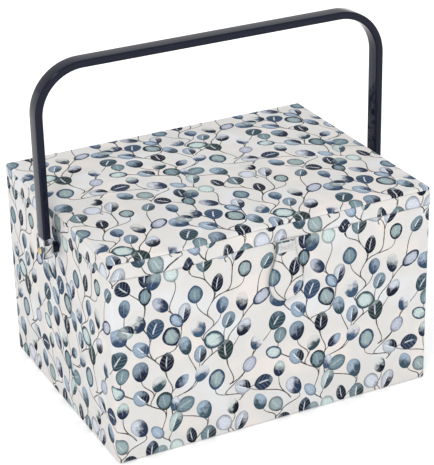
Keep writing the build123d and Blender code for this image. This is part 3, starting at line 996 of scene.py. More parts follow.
def pillow_mesh(name, outline, depth, roll, dome, place, shift, printed=True, grid=4.0, steps=(0.15, 0.5, 1.0)):
    """A closed flat pad: a printed front and back whose rounded edges meet half way through its depth."""
    folds = [shrunk(outline, roll * s) for s in steps]
    folds = [line + line[:1] for line in folds]
    shell = bmesh.new()
    whole = bpy.data.meshes.new(name)
    for face in (1, -1):
        def lift(flat, face=face):
            away = distance_inside(flat, outline)
            share = np.clip(away / roll, 0, 1)
            half = depth / 2 * np.sqrt(np.clip(1 - (1 - share) ** 2, 0, 1))
            rise = half + dome * np.clip(away / 9.0, 0, 1) ** 0.8 + 0.10 * lumps(flat, 0.16, 2.0) * share
            return place(flat, rise * face)
        # The crease shade paints shade along the pad's outline, where its edge rolls under.
        mesh = inlaid_mesh(name + "_face", outline, lift, shift, folds, grid, printed,
                           lambda flat: np.exp(-(distance_inside(flat, outline) / 0.75) ** 2))
        if face < 0:
            mesh.flip_normals()
        shell.from_mesh(mesh)
    bmesh.ops.remove_doubles(shell, verts=shell.verts, dist=2e-6)
    shell.to_mesh(whole)
    shell.free()
    return whole


def build_tab():
    """Bell-shaped printed tab with a turned edge, a sewn line, and its neck of folded cloth."""
    middle, half = tab_half_outline()
    right = smooth_line(half, 4)
    left = [(-x, z) for x, z in right[::-1]][1:]
    outline = [(x + middle, z) for x, z in (right + left)][::-1]
    front, back = TAB_LOW[1], TAB_HIGH[1]
    centre = (front + back) / 2

    def place(flat, rise):
        return np.stack([flat[:, 0], centre - rise, flat[:, 1]], 1)

    mesh = pillow_mesh("closure_tab_cloth", outline, (back - front) - 0.3, 1.5, 0.1, place, (4, 5))
    made = add_object("closure_tab_cloth", mesh, printed_cotton())
    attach(made, "tab")
    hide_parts("closure_tab")
    seam = shrunk(outline, 2.4)
    lengths = np.cumsum([0] + [math.dist(a, b) for a, b in zip(seam, seam[1:])])
    count = int(lengths[-1] / 2.3)
    shell = bmesh.new()
    thread = thread_material()
    for number in range(count):
        ends = []
        for share in (number + 0.12, number + 0.84):
            at = share / count * lengths[-1]
            ends.append((np.interp(at, lengths, [p[0] for p in seam]), np.interp(at, lengths, [p[1] for p in seam])))
        if min(ends[0][1], ends[1][1]) > TAB_HIGH[2] - 4:
            continue
        add_stitch(shell, *[Vector((x, front + 0.02, z)) * MM for x, z in ends], 0.00022)
    stitches = bpy.data.meshes.new("tab_stitches")
    shell.to_mesh(stitches)
    shell.free()
    sewn = add_object("tab_stitches", stitches, thread)
    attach(sewn, "tab")

    # Neck: gathered cloth from under the rim down into the tab
    path = smooth_line([(-HALF_Y + 3.4, RIM_BOTTOM - 0.12), (-HALF_Y - 0.6, RIM_BOTTOM - 0.12),
                        (centre + 0.4, RIM_BOTTOM - 0.55), (centre - 1.75, RIM_BOTTOM - 2.6),
                        (centre - 1.9, RIM_BOTTOM - 6.5), (centre - 1.55, RIM_BOTTOM - 11.0)], 4)
    levels = path_lengths(path)
    wide = 9.2

    def lift(flat):
        y = np.interp(flat[:, 1], levels, [p[0] for p in path])
        z = np.interp(flat[:, 1], levels, [p[1] for p in path])
        share = np.clip(flat[:, 1] / levels[-1], 0, 1)
        gather = np.sin(math.pi * np.clip(share * 1.25 - 0.2, 0, 1))
        fold = 0.32 * np.cos(flat[:, 0] * 1.45) * gather
        hang = np.clip((RIM_BOTTOM - 1.0 - z) / 3, 0, 1)
        return np.stack([middle + flat[:, 0] * (1 - 0.10 * gather), y - fold * hang, z], 1)

    outline = [(-wide, 0), (wide, 0)] + [(wide, levels[-1] * i / 6) for i in range(1, 7)]
    outline += [(-wide, levels[-1] * i / 6) for i in range(6, 0, -1)]
    folds = [[(-wide + 0.05, v), (wide - 0.05, v)] for v in levels[1:-1]]
    # The crease shade paints shade in the valleys of the gathered folds.
    mesh = inlaid_mesh("tab_neck", outline, lift, (90, 40), folds, grid=1.1, printed=False,
                       crease_shade=lambda flat: 0.30 * np.clip(-np.cos(flat[:, 0] * 1.45), 0, 1)
                       * np.clip(np.minimum(flat[:, 1], levels[-1] - flat[:, 1]) / 3, 0, 1))
    neck = thicken(add_object("tab_neck", mesh, printed_cotton()), 0.0003, 0.0)
    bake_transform(neck)


def add_stitch(shell, start, end, radius):
    """One raised thread between two points."""
    ahead = (end - start)
    middle = (start + end) / 2
    turn = ahead.to_track_quat("Z", "Y").to_matrix().to_4x4()
    place = Matrix.Translation(middle) @ turn
    made = bmesh.ops.create_uvsphere(shell, u_segments=6, v_segments=5, radius=1.0)
    for v in made["verts"]:
        v.co = place @ Vector((v.co.x * radius, v.co.y * radius, v.co.z * ahead.length / 2))


def thread_material():
    """Off-white cotton thread."""
    found = bpy.data.materials.get("sewing thread")
    if found:
        return found
    g = Graph("sewing thread")
    place = g.place()
    colour = g.mix(linear(214, 214, 216), linear(186, 192, 202), g.noise(place, 900.0))
    g.bump(g.noise(place, 4000.0), 0.3, 0.0001)
    return g.finish(colour, 0.7)


# ------------------------------------------------------------------ handle
def bow_section(edge):
    """Section of the bow as (outward, across) points with rounded corners."""
    low, high = node_mm("handle_bow")
    thick = high[0] - node_mm("handle_sleeve_right")[0][0] - 1.0
    wide = high[1] - low[1]
    out, side = thick / 2, wide / 2
    made = []
    for corner_out, corner_side, start in ((1, 1, 0), (-1, 1, 90), (-1, -1, 180), (1, -1, 270)):
        for i in range(7):
            a = math.radians(start + 90 * i / 6)
            made.append((corner_out * out - corner_out * edge + edge * math.cos(a),
                         corner_side * side - corner_side * edge + edge * math.sin(a)))
    return made, thick


def build_handle():
    """Bow handle swept along its bent line, with its cloth sleeves."""
    edge = settings("box_handle").edge * 1000
    section, thick = bow_section(edge)
    high = node_mm("handle_bow")[1]
    half, top = high[0] - thick / 2, high[2] - thick / 2
    bend = BOW_CORNER - thick / 2
    foot = PIVOT[2] - 1.0
    line = [(-half, foot), (-half, foot + 30), (-half, foot + 70)]
    line += [(-half + bend - bend * math.cos(a), top - bend + bend * math.sin(a))
             for a in np.linspace(0, math.pi / 2, 17)]
    line += [(x, top) for x in np.linspace(-half + bend, half - bend, 9)[1:-1]]
    line += [(-x, z) for x, z in line[:20][::-1]]
    angles = [math.pi] * 3 + list(np.linspace(math.pi, math.pi / 2, 17)) + [math.pi / 2] * 7
    angles += [math.pi - a for a in angles[:20][::-1]]
    points, faces = [], []
    for (x, z), a in zip(line, angles):
        points += [((x + math.cos(a) * out) * MM, (PIVOT[1] + side) * MM, (z + math.sin(a) * out) * MM)
                   for out, side in section]
    count = len(section)
    for ring in range(len(line) - 1):
        for i in range(count):
            j = (i + 1) % count
            faces.append((ring * count + i, ring * count + j, (ring + 1) * count + j, (ring + 1) * count + i))
    faces.append(tuple(range(count)))
    faces.append(tuple(range((len(line) - 1) * count, len(line) * count))[::-1])
    mesh = bpy.data.meshes.new("bow_handle")
    mesh.from_pydata(points, [], faces)
    shell = bmesh.new()
    shell.from_mesh(mesh)
    bmesh.ops.recalc_face_normals(shell, faces=shell.faces)
    shell.to_mesh(mesh)
    shell.free()
    made = add_object("bow_handle", mesh, handle_plastic())
    mesh.set_sharp_from_angle(angle=math.radians(60))
    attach(made, "handle")
    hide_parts("handle_bow")

    for side, word in ((-1, "left"), (1, "right")):
        node = "handle_sleeve_" + word
        box_low, box_high = node_mm(node)
        radius = (box_high[1] - box_low[1]) / 2
        half_depth = (box_high[0] - box_low[0]) / 2
        middle = (box_high[0] + box_low[0]) / 2
        outline = [(radius * math.cos(a), radius * math.sin(a)) for a in np.linspace(math.pi, math.tau, 22)]
        rise = box_high[2] - PIVOT[2]
        outline += [(radius, rise * 0.35), (radius, rise * 0.7), (radius, rise - 0.6), (radius - 0.6, rise)]
        outline += [(-radius + 0.6, rise), (-radius, rise - 0.6), (-radius, rise * 0.7), (-radius, rise * 0.35)]
        mesh = sleeve_mesh(node + "_cloth", outline, half_depth, middle, side)
        sleeve = add_object(node + "_cloth", mesh, printed_cotton())
        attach(sleeve, "handle")
        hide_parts(node)


def sleeve_mesh(name, outline, half_depth, middle, side):
    """Closed cloth sleeve: two printed caps with rolled edges and a printed band between them."""
    roll = 1.1
    shell = bmesh.new()
    for face in (1, -1):
        def lift(flat, face=face):
            away = np.clip(distance_inside(flat, outline) / roll, 0, 1)
            depth = half_depth - roll + roll * np.sqrt(np.clip(1 - (1 - away) ** 2, 0, 1))
            across = flat[:, 0] * side
            return np.stack([middle + depth * face * side, PIVOT[1] + across * 1.0, PIVOT[2] + flat[:, 1]], 1)
        folds = [shrunk(outline, roll * s) for s in (0.12, 0.45, 1.0)]
        # The crease shade paints shade along the cap's outline, where its edge rolls over.
        mesh = inlaid_mesh(name + "_cap", outline, lift, (37 + 20 * face, 51), [f + f[:1] for f in folds], 4.0,
                           crease_shade=lambda flat: np.exp(-(distance_inside(flat, outline) / 0.5) ** 2))
        if face < 0:
            mesh.flip_normals()
        shell.from_mesh(mesh)
    closed = outline + outline[:1]
    lengths = path_lengths(closed)

    def band(flat):
        x = np.interp(flat[:, 0], lengths, [p[0] for p in closed])
        z = np.interp(flat[:, 0], lengths, [p[1] for p in closed])
        depth = (flat[:, 1] - (half_depth - roll)) * side
        return np.stack([middle - depth, PIVOT[1] + x * side, PIVOT[2] + z], 1)

    strip = [(s, 0.0) for s in lengths] + [(s, 2 * (half_depth - roll)) for s in lengths[::-1]]
    mesh = inlaid_mesh(name + "_band", strip, band, (5, 80), (), 3.0)
    shell.from_mesh(mesh)
    bmesh.ops.remove_doubles(shell, verts=shell.verts, dist=4e-6)
    bmesh.ops.recalc_face_normals(shell, faces=shell.faces)
    whole = bpy.data.meshes.new(name)
    shell.to_mesh(whole)
    shell.free()
    return whole


def handle_plastic():
    """Glossy moulded navy plastic."""
    found = bpy.data.materials.get("navy plastic")
    if found:
        return found
    g = Graph("navy plastic")
    place = g.place()
    chosen = tuple(settings("box_handle").plastic)
    colour = g.mix(chosen, tuple(c * 1.5 + 0.002 for c in chosen), g.noise(place, 60.0, 3.0))
    rough = g.step(g.noise(place, 220.0, 4.0), 0.35, 0.75, 0.06, 0.11)
    return g.finish(colour, rough, Specular_IOR_Level=0.17)


# ------------------------------------------------------------------ inside
def satin(name="satin lining", colour=None):
    """Smooth satin with faint thread lines."""
    found = bpy.data.materials.get(name)
    if found:
        return found
    g = Graph(name)
    place = g.place()
    chosen = tuple(colour or settings("box_inside").satin)
    shade = g.noise(g.stretched(place, (30.0, 30.0, 6.0)), 1.0, 3.0)
    tint = g.mix(chosen, tuple(min(1.0, c * 1.35) for c in chosen), shade)
    threads = g.noise(g.stretched(place, (2600.0, 2600.0, 240.0)), 1.0, 1.0)
    g.bump(threads, 0.12, 0.0001)
    return g.finish(tint, g.step(threads, 0.3, 0.7, 0.36, 0.46), Sheen_Weight=0.35, Sheen_Roughness=0.3,
                    Anisotropic=0.5)


def ribbon_cloth():
    """Ribbed navy ribbon."""
    found = bpy.data.materials.get("navy ribbon")
    if found:
        return found
    g = Graph("navy ribbon")
    place = g.place()
    chosen = tuple(settings("box_inside").ribbon)
    ribs = g.noise(g.stretched(place, (300.0, 1500.0, 1500.0)), 1.0, 1.0)
    g.bump(ribs, 0.35, 0.0002)
    return g.finish(g.mix(chosen, tuple(c * 2 + 0.01 for c in chosen), ribs), 0.5, Sheen_Weight=0.3)


def velvet():
    """Short-pile velvet."""
    found = bpy.data.materials.get("navy velvet")
    if found:
        return found
    g = Graph("navy velvet")
    place = g.place()
    chosen = tuple(settings("box_inside").velvet)
    pile = g.noise(place, 160.0, 4.0, 0.7)
    g.bump(g.noise(place, 1800.0, 2.0), 0.4, 0.0003)
    return g.finish(g.mix(chosen, tuple(c * 1.6 + 0.006 for c in chosen), g.step(pile, 0.3, 0.75)), 0.9,
                    Sheen_Weight=0.45, Sheen_Roughness=0.4)


def tray_plastic():
    """Frosted moulded plastic."""
    g = Graph("frosted tray plastic")
    place = g.place()
    chosen = tuple(settings("box_inside").tray)
    frost = g.noise(place, 900.0, 3.0)
    g.bump(frost, 0.12, 0.0002)
    tint = g.mix(chosen, tuple(c * 0.9 for c in chosen), g.noise(place, 18.0))
    return g.finish(tint, g.step(frost, 0.3, 0.7, 0.32, 0.44), Transmission_Weight=0.12, Subsurface_Weight=0.1,
                    Subsurface_Scale=0.004)


def metal(name, colour, rough, scale):
    """Lightly worn metal."""
    g = Graph(name)
    place = g.place()
    worn = g.noise(place, scale, 4.0)
    tint = g.mix(colour, tuple(c * 0.72 for c in colour), g.step(worn, 0.45, 0.75))
    g.bump(worn, 0.05, 0.0001)
    return g.finish(tint, g.step(worn, 0.3, 0.7, rough, rough + 0.14), Metallic=1.0)


def paper_board(name, colour, dark):
    """Pressed board with short fibres."""
    g = Graph(name)
    place = g.place()
    fibres = g.noise(place, 420.0, 5.0, 0.7)
    tint = g.mix(colour, dark, g.step(fibres, 0.35, 0.7))
    g.bump(fibres, 0.25, 0.0003)
    return g.finish(tint, 0.92, Specular_IOR_Level=0.2)


def woven_base():
    """Plain navy base cloth."""
    found = bpy.data.materials.get("base cloth")
    if found:
        return found
    g = Graph("base cloth")
    place = g.place()
    weave = weave_height(g, g.stretched(place, (1000.0, 1000.0, 1000.0)), 1.0)
    tint = g.mix(linear(34, 42, 66), linear(54, 62, 88), g.step(weave, -0.2, 1.2))
    g.bump(weave, 0.3, 0.0002)
    return g.finish(tint, 0.88, Sheen_Weight=0.2)


def ring_shell(name, path, half_x, half_y, radius, material, swell, step=9.0):
    """A closed band round the box: path is a loop of (inset, height) points, swept round a rectangle."""
    arc = math.pi * radius / 2
    stops, start = [], 0.0
    for wall in range(4):
        length = 2 * ((half_y if wall % 2 == 0 else half_x) - radius)
        count = max(2, round(length / step))
        stops += [start + length * i / count for i in range(count)]
        stops += [start + length + arc * i / 4 for i in range(4)]
        start += length + arc
    points, faces = [], []
    for s in stops:
        for inset, z in path:
            x, y, nx, ny = (v[0] for v in ring_point(np.array([s]), inset, half_x, half_y, radius))
            push = swell(s, inset, z)
            points.append(((x + nx * push) * MM, (y + ny * push) * MM, z * MM))
    count = len(path)
    for i in range(len(stops)):
        j = (i + 1) % len(stops)
        for a in range(count):
            b = (a + 1) % count
            faces.append((i * count + a, j * count + a, j * count + b, i * count + b))
    mesh = bpy.data.meshes.new(name)
    mesh.from_pydata(points, [], faces)
    shell = bmesh.new()
    shell.from_mesh(mesh)
    bmesh.ops.recalc_face_normals(shell, faces=shell.faces)
    shell.to_mesh(mesh)
    shell.free()
    return add_object(name, mesh, material)


def build_linings():
    """Satin over the inner walls, the ledges, the padded floor and the lid's inside."""
    outer_x, outer_y = LINING_X + 1.5, LINING_Y + 1.5
    top, low = BODY_TOP, FLOOR_TOP
    rows = [top - 1.0 - (top - low - 6) * i / 16 for i in range(17)]
    path = [(0.05, low + 0.1), (0.05, top - 0.8), (0.5, top - 0.1), (1.1, top - 0.15)]
    path += [(1.5, z) for z in rows] + [(1.5, low + 0.1)]

    def swell(s, inset, z):
        if inset < 1.4:
            return 0.0
        soft = noise.noise(Vector((s * 0.03, z * 0.012, 4.0)))
        return -0.22 * soft * min(1, (top - z) / 10) - 0.05

    lining = ring_shell("well_lining", path, outer_x, outer_y, 2.6, satin(), swell)
    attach(lining, "box")
    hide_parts("front_lining_board", "back_lining_board", "left_lining_board", "right_lining_board")
    for name in ("upper_ledge_front", "upper_ledge_back", "lower_ledge_front", "lower_ledge_back"):
        give_material(NODES[name], satin())
        soften(NODES[name], 0.0009, 3)

    # Floor pad: quilted satin on wadding
    pad_low, pad_high = node_mm("floor_pad")
    half_x, half_y = pad_high[0], pad_high[1]
    cells = 9

    def floor_height(x, y):
        u, v = (x / half_x * cells / 2), (y / half_y * 7 / 2)
        a = abs(math.sin(math.pi * (u + v) / 2))
        b = abs(math.sin(math.pi * (u - v) / 2))
        return 1.9 * (min(a, b) ** 0.55)

    pad = pad_mesh("floor_pad_satin", half_x - 0.25, half_y - 0.25, pad_low[2] + 0.05, pad_high[2] - 1.9,
                   floor_height, 118, 90)
    made = add_object("floor_pad_satin", pad, satin())
    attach(made, "box")
    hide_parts("floor_pad")
    build_lid_inside()


def pad_mesh(name, half_x, half_y, low, high, height, columns, rows):
    """A closed flat pad on a grid, with a rounded edge and a height function on its top."""
    points, faces = [], []
    xs = np.linspace(-half_x, half_x, columns + 1)
    ys = np.linspace(-half_y, half_y, rows + 1)
    for y in ys:
        for x in xs:
            away = min(half_x - abs(x), half_y - abs(y))
            edge = math.sqrt(max(0.0, 1 - (1 - min(1.0, away / 3.0)) ** 2))
            base = low + (high - low) * (0.35 + 0.65 * edge)
            points.append((x * MM, y * MM, (base + height(x, y) * edge) * MM))
    wide = columns + 1
    top = len(points)
    points += [(x, y, low * MM) for x, y, _ in points[:top]]
    for j in range(rows):
        for i in range(columns):
            a = j * wide + i
            faces.append((a, a + 1, a + 1 + wide, a + wide))
            faces.append(tuple(top + k for k in (a + wide, a + 1 + wide, a + 1, a)))
    border = [(i, i + 1) for i in range(columns)]
    border += [(i * wide + columns, (i + 1) * wide + columns) for i in range(rows)]
    border += [(rows * wide + i + 1, rows * wide + i) for i in range(columns)]
    border += [((i + 1) * wide, i * wide) for i in range(rows)]
    faces += [(b, a, a + top, b + top) for a, b in border]
    mesh = bpy.data.meshes.new(name)
    mesh.from_pydata(points, [], faces)
    shell = bmesh.new()
    shell.from_mesh(mesh)
    bmesh.ops.recalc_face_normals(shell, faces=shell.faces)
    shell.to_mesh(mesh)
    shell.free()
    return mesh


def build_lid_inside():
    """Satin in the lid, its gathered pocket with an elastic edge, and the pin cushion."""
    low, high = LID_LOW, LID_HIGH
    inner_x, inner_y = high[0], high[1]
    path = [(0.05, low[2] + 0.25), (0.05, high[2] - 0.05), (14.0, high[2] - 0.05), (14.0, LID_CEILING + 0.05),
            (2.2, LID_CEILING), (1.3, LID_CEILING - 0.7), (0.95, LID_CEILING - 2.0), (0.95, low[2] + 1.0),
            (0.6, low[2] + 0.3)]
    rim = ring_shell("lid_lining_satin", path, inner_x, inner_y, 2.4, satin(),
                     lambda s, inset, z: 0.0)
    ceiling = pad_grid_ceiling(inner_x - 13.0, inner_y - 13.0, LID_CEILING, high[2] - 0.05)
    shell = bmesh.new()
    shell.from_mesh(rim.data)
    shell.from_mesh(ceiling)
    shell.to_mesh(rim.data)
    shell.free()
    rim.data.polygons.foreach_set("use_smooth", [True] * len(rim.data.polygons))
    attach(rim, "lid")
    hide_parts("lid_lining")
    build_pocket()
    build_cushion()


def pad_grid_ceiling(half_x, half_y, low, high):
    """A thin closed sheet on the lid's ceiling with soft ripples."""
    def height(x, y):
        return -0.22 * noise.noise(Vector((x * 0.02, y * 0.05, 1.0)))
    mesh = pad_mesh("ceiling", half_x, half_y, 0.0, 0.0, height, 44, 34)
    for v in mesh.vertices:
        v.co.z = (high * MM) if v.index >= len(mesh.vertices) // 2 else (low + 0.1) * MM - abs(v.co.z)
    shell = bmesh.new()
    shell.from_mesh(mesh)
    bmesh.ops.recalc_face_normals(shell, faces=shell.faces)
    shell.to_mesh(mesh)
    shell.free()
    return mesh


def build_pocket():
    """Gathered satin pocket, fuller at its mouth, where the elastic draws it in."""
    low, high = node_mm("lid_pocket")
    band_low, band_high = node_mm("pocket_elastic")
    columns, rows = 150, 26
    depth = high[2] - low[2]
    points, faces = [], []
    for j in range(rows + 1):
        v = j / rows
        for i in range(columns + 1):
            u = i / columns
            x = low[0] + (high[0] - low[0]) * u
            y = low[1] + (high[1] - low[1]) * v
            side = min(u, 1 - u) * (high[0] - low[0])
            back = (1 - v) * (high[1] - low[1])
            edge = min(side, back)
            rise = depth * math.sqrt(max(0.0, 1 - (1 - min(1.0, edge / 7.0)) ** 2))
            full = (1 - v) ** 1.2
            fold = math.sin(u * 76 + 1.6 * math.sin(u * 19)) * 2.3 * full * min(1.0, side / 9)
            fold += 1.3 * noise.noise(Vector((u * 13, v * 2.2, 7.0))) * min(1.0, edge / 16)
            points.append((x * MM, y * MM, (high[2] - max(0.15, min(depth - 0.1, rise * 0.74 + fold))) * MM))
    wide = columns + 1
    for j in range(rows):
        for i in range(columns):
            a = j * wide + i
            faces.append((a, a + wide, a + wide + 1, a + 1))
    mesh = bpy.data.meshes.new("lid_pocket_satin")
    mesh.from_pydata(points, [], faces)
    made = add_object("lid_pocket_satin", mesh, satin())
    thicken(made, 0.0006, 0.0)
    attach(made, "lid")
    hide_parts("lid_pocket")
    # Elastic: a ruched tube along the mouth
    points, faces = [], []
    count, around = 220, 10
    middle_y, middle_z = (band_low[1] + band_high[1]) / 2, (band_low[2] + band_high[2]) / 2
    for i in range(count + 1):
        u = i / count
        x = band_low[0] + (band_high[0] - band_low[0]) * u
        ruche = 0.80 + 0.18 * math.sin(u * 260) + 0.06 * math.sin(u * 97)
        for k in range(around):
            a = math.tau * k / around
            points.append((x * MM, (middle_y + ruche * 1.95 * math.cos(a)) * MM,
                           (middle_z + ruche * 1.45 * math.sin(a)) * MM))
    for i in range(count):
        for k in range(around):
            m = (k + 1) % around
            faces.append((i * around + k, i * around + m, (i + 1) * around + m, (i + 1) * around + k))
    faces += [tuple(range(around))[::-1], tuple(range(count * around, (count + 1) * around))]
    mesh = bpy.data.meshes.new("pocket_elastic_band")
    mesh.from_pydata(points, [], faces)
    band = add_object("pocket_elastic_band", mesh, ribbon_cloth())
    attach(band, "lid")
    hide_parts("pocket_elastic")


def build_cushion():
    """Stuffed velvet pin cushion, blown up from a thinner pad."""
    low, high = node_mm("pin_cushion")
    middle = (low + high) / 2
    half = (high - low) / 2
    outline, _ = rounded_rectangle(half[0] - 1.5, half[1] - 1.5, 11.0, 0.0, 3.0)

    def place(flat, rise):
        return np.stack([middle[0] + flat[:, 0], middle[1] + flat[:, 1], middle[2] + rise], 1)

    mesh = pillow_mesh("pin_cushion_velvet", outline, 2 * half[2] - 3.2, 3.0, 0.0, place, (0, 0), False, 4.0)
    made = add_object("pin_cushion_velvet", mesh, velvet())
    bpy.context.view_layer.objects.active = made
    simulate_pad(made, 0.0035, 4.0, 0.0016, [c * MM for c in low + 0.1], [c * MM for c in high - 0.1])
    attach(made, "lid")
    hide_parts("pin_cushion")


def simulate_pad(obj, voxel, pressure, reach, low, high):
    """Blows a closed pad up with a cloth simulation, applied, and keeps it inside its space."""
    remesh = obj.modifiers.new("Remesh", "REMESH")
    remesh.mode = "VOXEL"
    remesh.voxel_size = voxel
    graph = bpy.context.evaluated_depsgraph_get()
    mesh = bpy.data.meshes.new_from_object(obj.evaluated_get(graph))
    obj.modifiers.clear()
    obj.data = mesh
    rest = np.array([v.co for v in mesh.vertices])
    cloth = obj.modifiers.new("Cloth", "CLOTH")
    cloth.settings.use_pressure = True
    cloth.settings.uniform_pressure_force = pressure
    cloth.settings.effector_weights.gravity = 0.0
    cloth.settings.quality = 6
    cloth.point_cache.frame_end = 20
    for number in range(1, 21):
        bpy.context.scene.frame_set(number)
    shaped = obj.evaluated_get(bpy.context.evaluated_depsgraph_get())
    moved = np.array([v.co for v in shaped.data.vertices]) - rest
    length = np.linalg.norm(moved, axis=1)[:, None] + 1e-12
    final = np.clip(rest + moved * np.minimum(1, reach / length), low, high)
    obj.modifiers.clear()
    bpy.context.scene.frame_set(1)
    mesh.vertices.foreach_set("co", final.astype(np.float32).ravel())
    mesh.polygons.foreach_set("use_smooth", [True] * len(mesh.polygons))
    soft = obj.modifiers.new("round", "SUBSURF")
    soft.levels = soft.render_levels = 1


# ------------------------------------------------------------------ hinge and stays
def build_hinge_cloth():
    """Printed cloth across the back joint."""
    low, high = node_mm("lid_hinge_tape")
    levels = [0.0, 4.0, 8.0, 10.5, 11.6, 12.2, 12.65, 13.1, 13.7, 14.8, 17.0, 21.0, high[2] - low[2]]

    def lift(flat):
        out = np.clip((5.5 - np.abs(flat[:, 1] - (HINGE[2] - low[2]))) / 5.5, 0, 1) ** 2
        return np.stack([-flat[:, 0], high[1] - 0.25 + 0.15 * out, low[2] + flat[:, 1]], 1)

    half = high[0]
    outline = [(x, 0.0) for x in np.linspace(-half, half, 66)]
    outline += [(x, levels[-1]) for x in np.linspace(half, -half, 66)]
    folds = [[(-half + 0.1, v), (half - 0.1, v)] for v in levels[1:-1]]
    mesh = inlaid_mesh("hinge_cloth", outline, lift, (40, 60), folds, grid=8.0)
    made = add_object("hinge_cloth", mesh, printed_cotton())
    thicken(made, 0.0005)
    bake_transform(made)
    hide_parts("lid_hinge_tape")


def build_stays():
    """Ribbons cut to their length with the lid open. They lie in small folds when it is shut."""
    hinge = np.array(HINGE[1:3])
    body = np.array([39.5, node_mm("body_ribbon_tacks")[0][2] + 3.0])
    lid_low = node_mm("lid_ribbon_tacks")[0]
    lid = np.array([lid_low[1] + 3.0, lid_low[2] + 3.0])
    full = math.radians(JOINTS["lid_hinge"]["range_deg"][1])

    def turned(point, angle):
        y, z = point - hinge
        return hinge + (y * math.cos(angle) + z * math.sin(angle), -y * math.sin(angle) + z * math.cos(angle))

    open_end = turned(lid, full)
    steps, folds, fold_depth = 144, 6, 2.3
    for side, word in ((-1, "left"), (1, "right")):
        node = "stay_ribbon_" + word
        low, high = node_mm(node)
        inner, outer = sorted((abs(low[0]), abs(high[0])))
        points, faces = [], []
        for k in range(steps + 1):
            along = k / steps
            ripple = math.sin(math.tau * folds * along) / (math.tau * folds)
            share = min(1, max(0, along + fold_depth * ripple))
            weight = share * share * (3 - 2 * share)
            straight = body + (open_end - body) * along
            ahead = (open_end - body) / np.linalg.norm(open_end - body)
            across = np.array([-ahead[1], ahead[0]])
            for width in (-5.0, -1.7, 1.7, 5.0):
                spot = turned(straight + across * width, -full * weight)
                x = side * (inner + 0.4 + (outer - inner - 0.8) * share)
                points.append((x * MM, spot[0] * MM, spot[1] * MM))
        for k in range(steps):
            for i in range(3):
                a = k * 4 + i
                faces.append((a, a + 1, a + 5, a + 4))
        mesh = bpy.data.meshes.new(node + "_cloth")
        mesh.from_pydata(points, [], faces)
        made = add_object(node + "_cloth", mesh, ribbon_cloth())
        thicken(made, 0.0003, 0.0)
        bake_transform(made)
        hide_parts(node)


# ------------------------------------------------------------------ carried-over nodes
def give_material(node, material):
    """Puts one material on a CAD node."""
    node.data.materials.clear()
    node.data.materials.append(material)


def dress_nodes():
    """Materials and softened edges for the CAD nodes that stay in view."""
    brass = metal("brass", linear(206, 188, 140), 0.24, 180.0)
    steel = metal("zinc plated steel", linear(176, 178, 182), 0.34, 240.0)
    board = paper_board("grey board", linear(168, 160, 148), linear(132, 124, 112))
    buckram = paper_board("buckram", linear(214, 206, 188), linear(184, 176, 158))
    trays = tray_plastic()
    base = woven_base()
    slots = {entry["node"]: entry["material_slot"] for entry in frame["record"]["subparts"]}
    by_slot = {"brass": brass, "steel": steel, "grey_board": board, "stiffener": buckram, "tray_plastic": trays,
               "base_cloth": base, "navy_plastic": handle_plastic()}
    for name, node in NODES.items():
        if slots[name] in by_slot and not node.hide_render:
            give_material(node, by_slot[slots[name]])
            node.data.polygons.foreach_set("use_smooth", [True] * len(node.data.polygons))
            node.data.set_sharp_from_angle(angle=math.radians(32))
    for name in ("upper_tray", "lower_tray"):
        soften(NODES[name], 0.0007, 2)


# ------------------------------------------------------------------ stage
CAMERA = {"turn": -26.33, "rise": 25.37, "roll": -1.30, "distance": 1.674, "aim": (0.00148, 0.03739),
          "height": 0.100, "lens": 133.55}


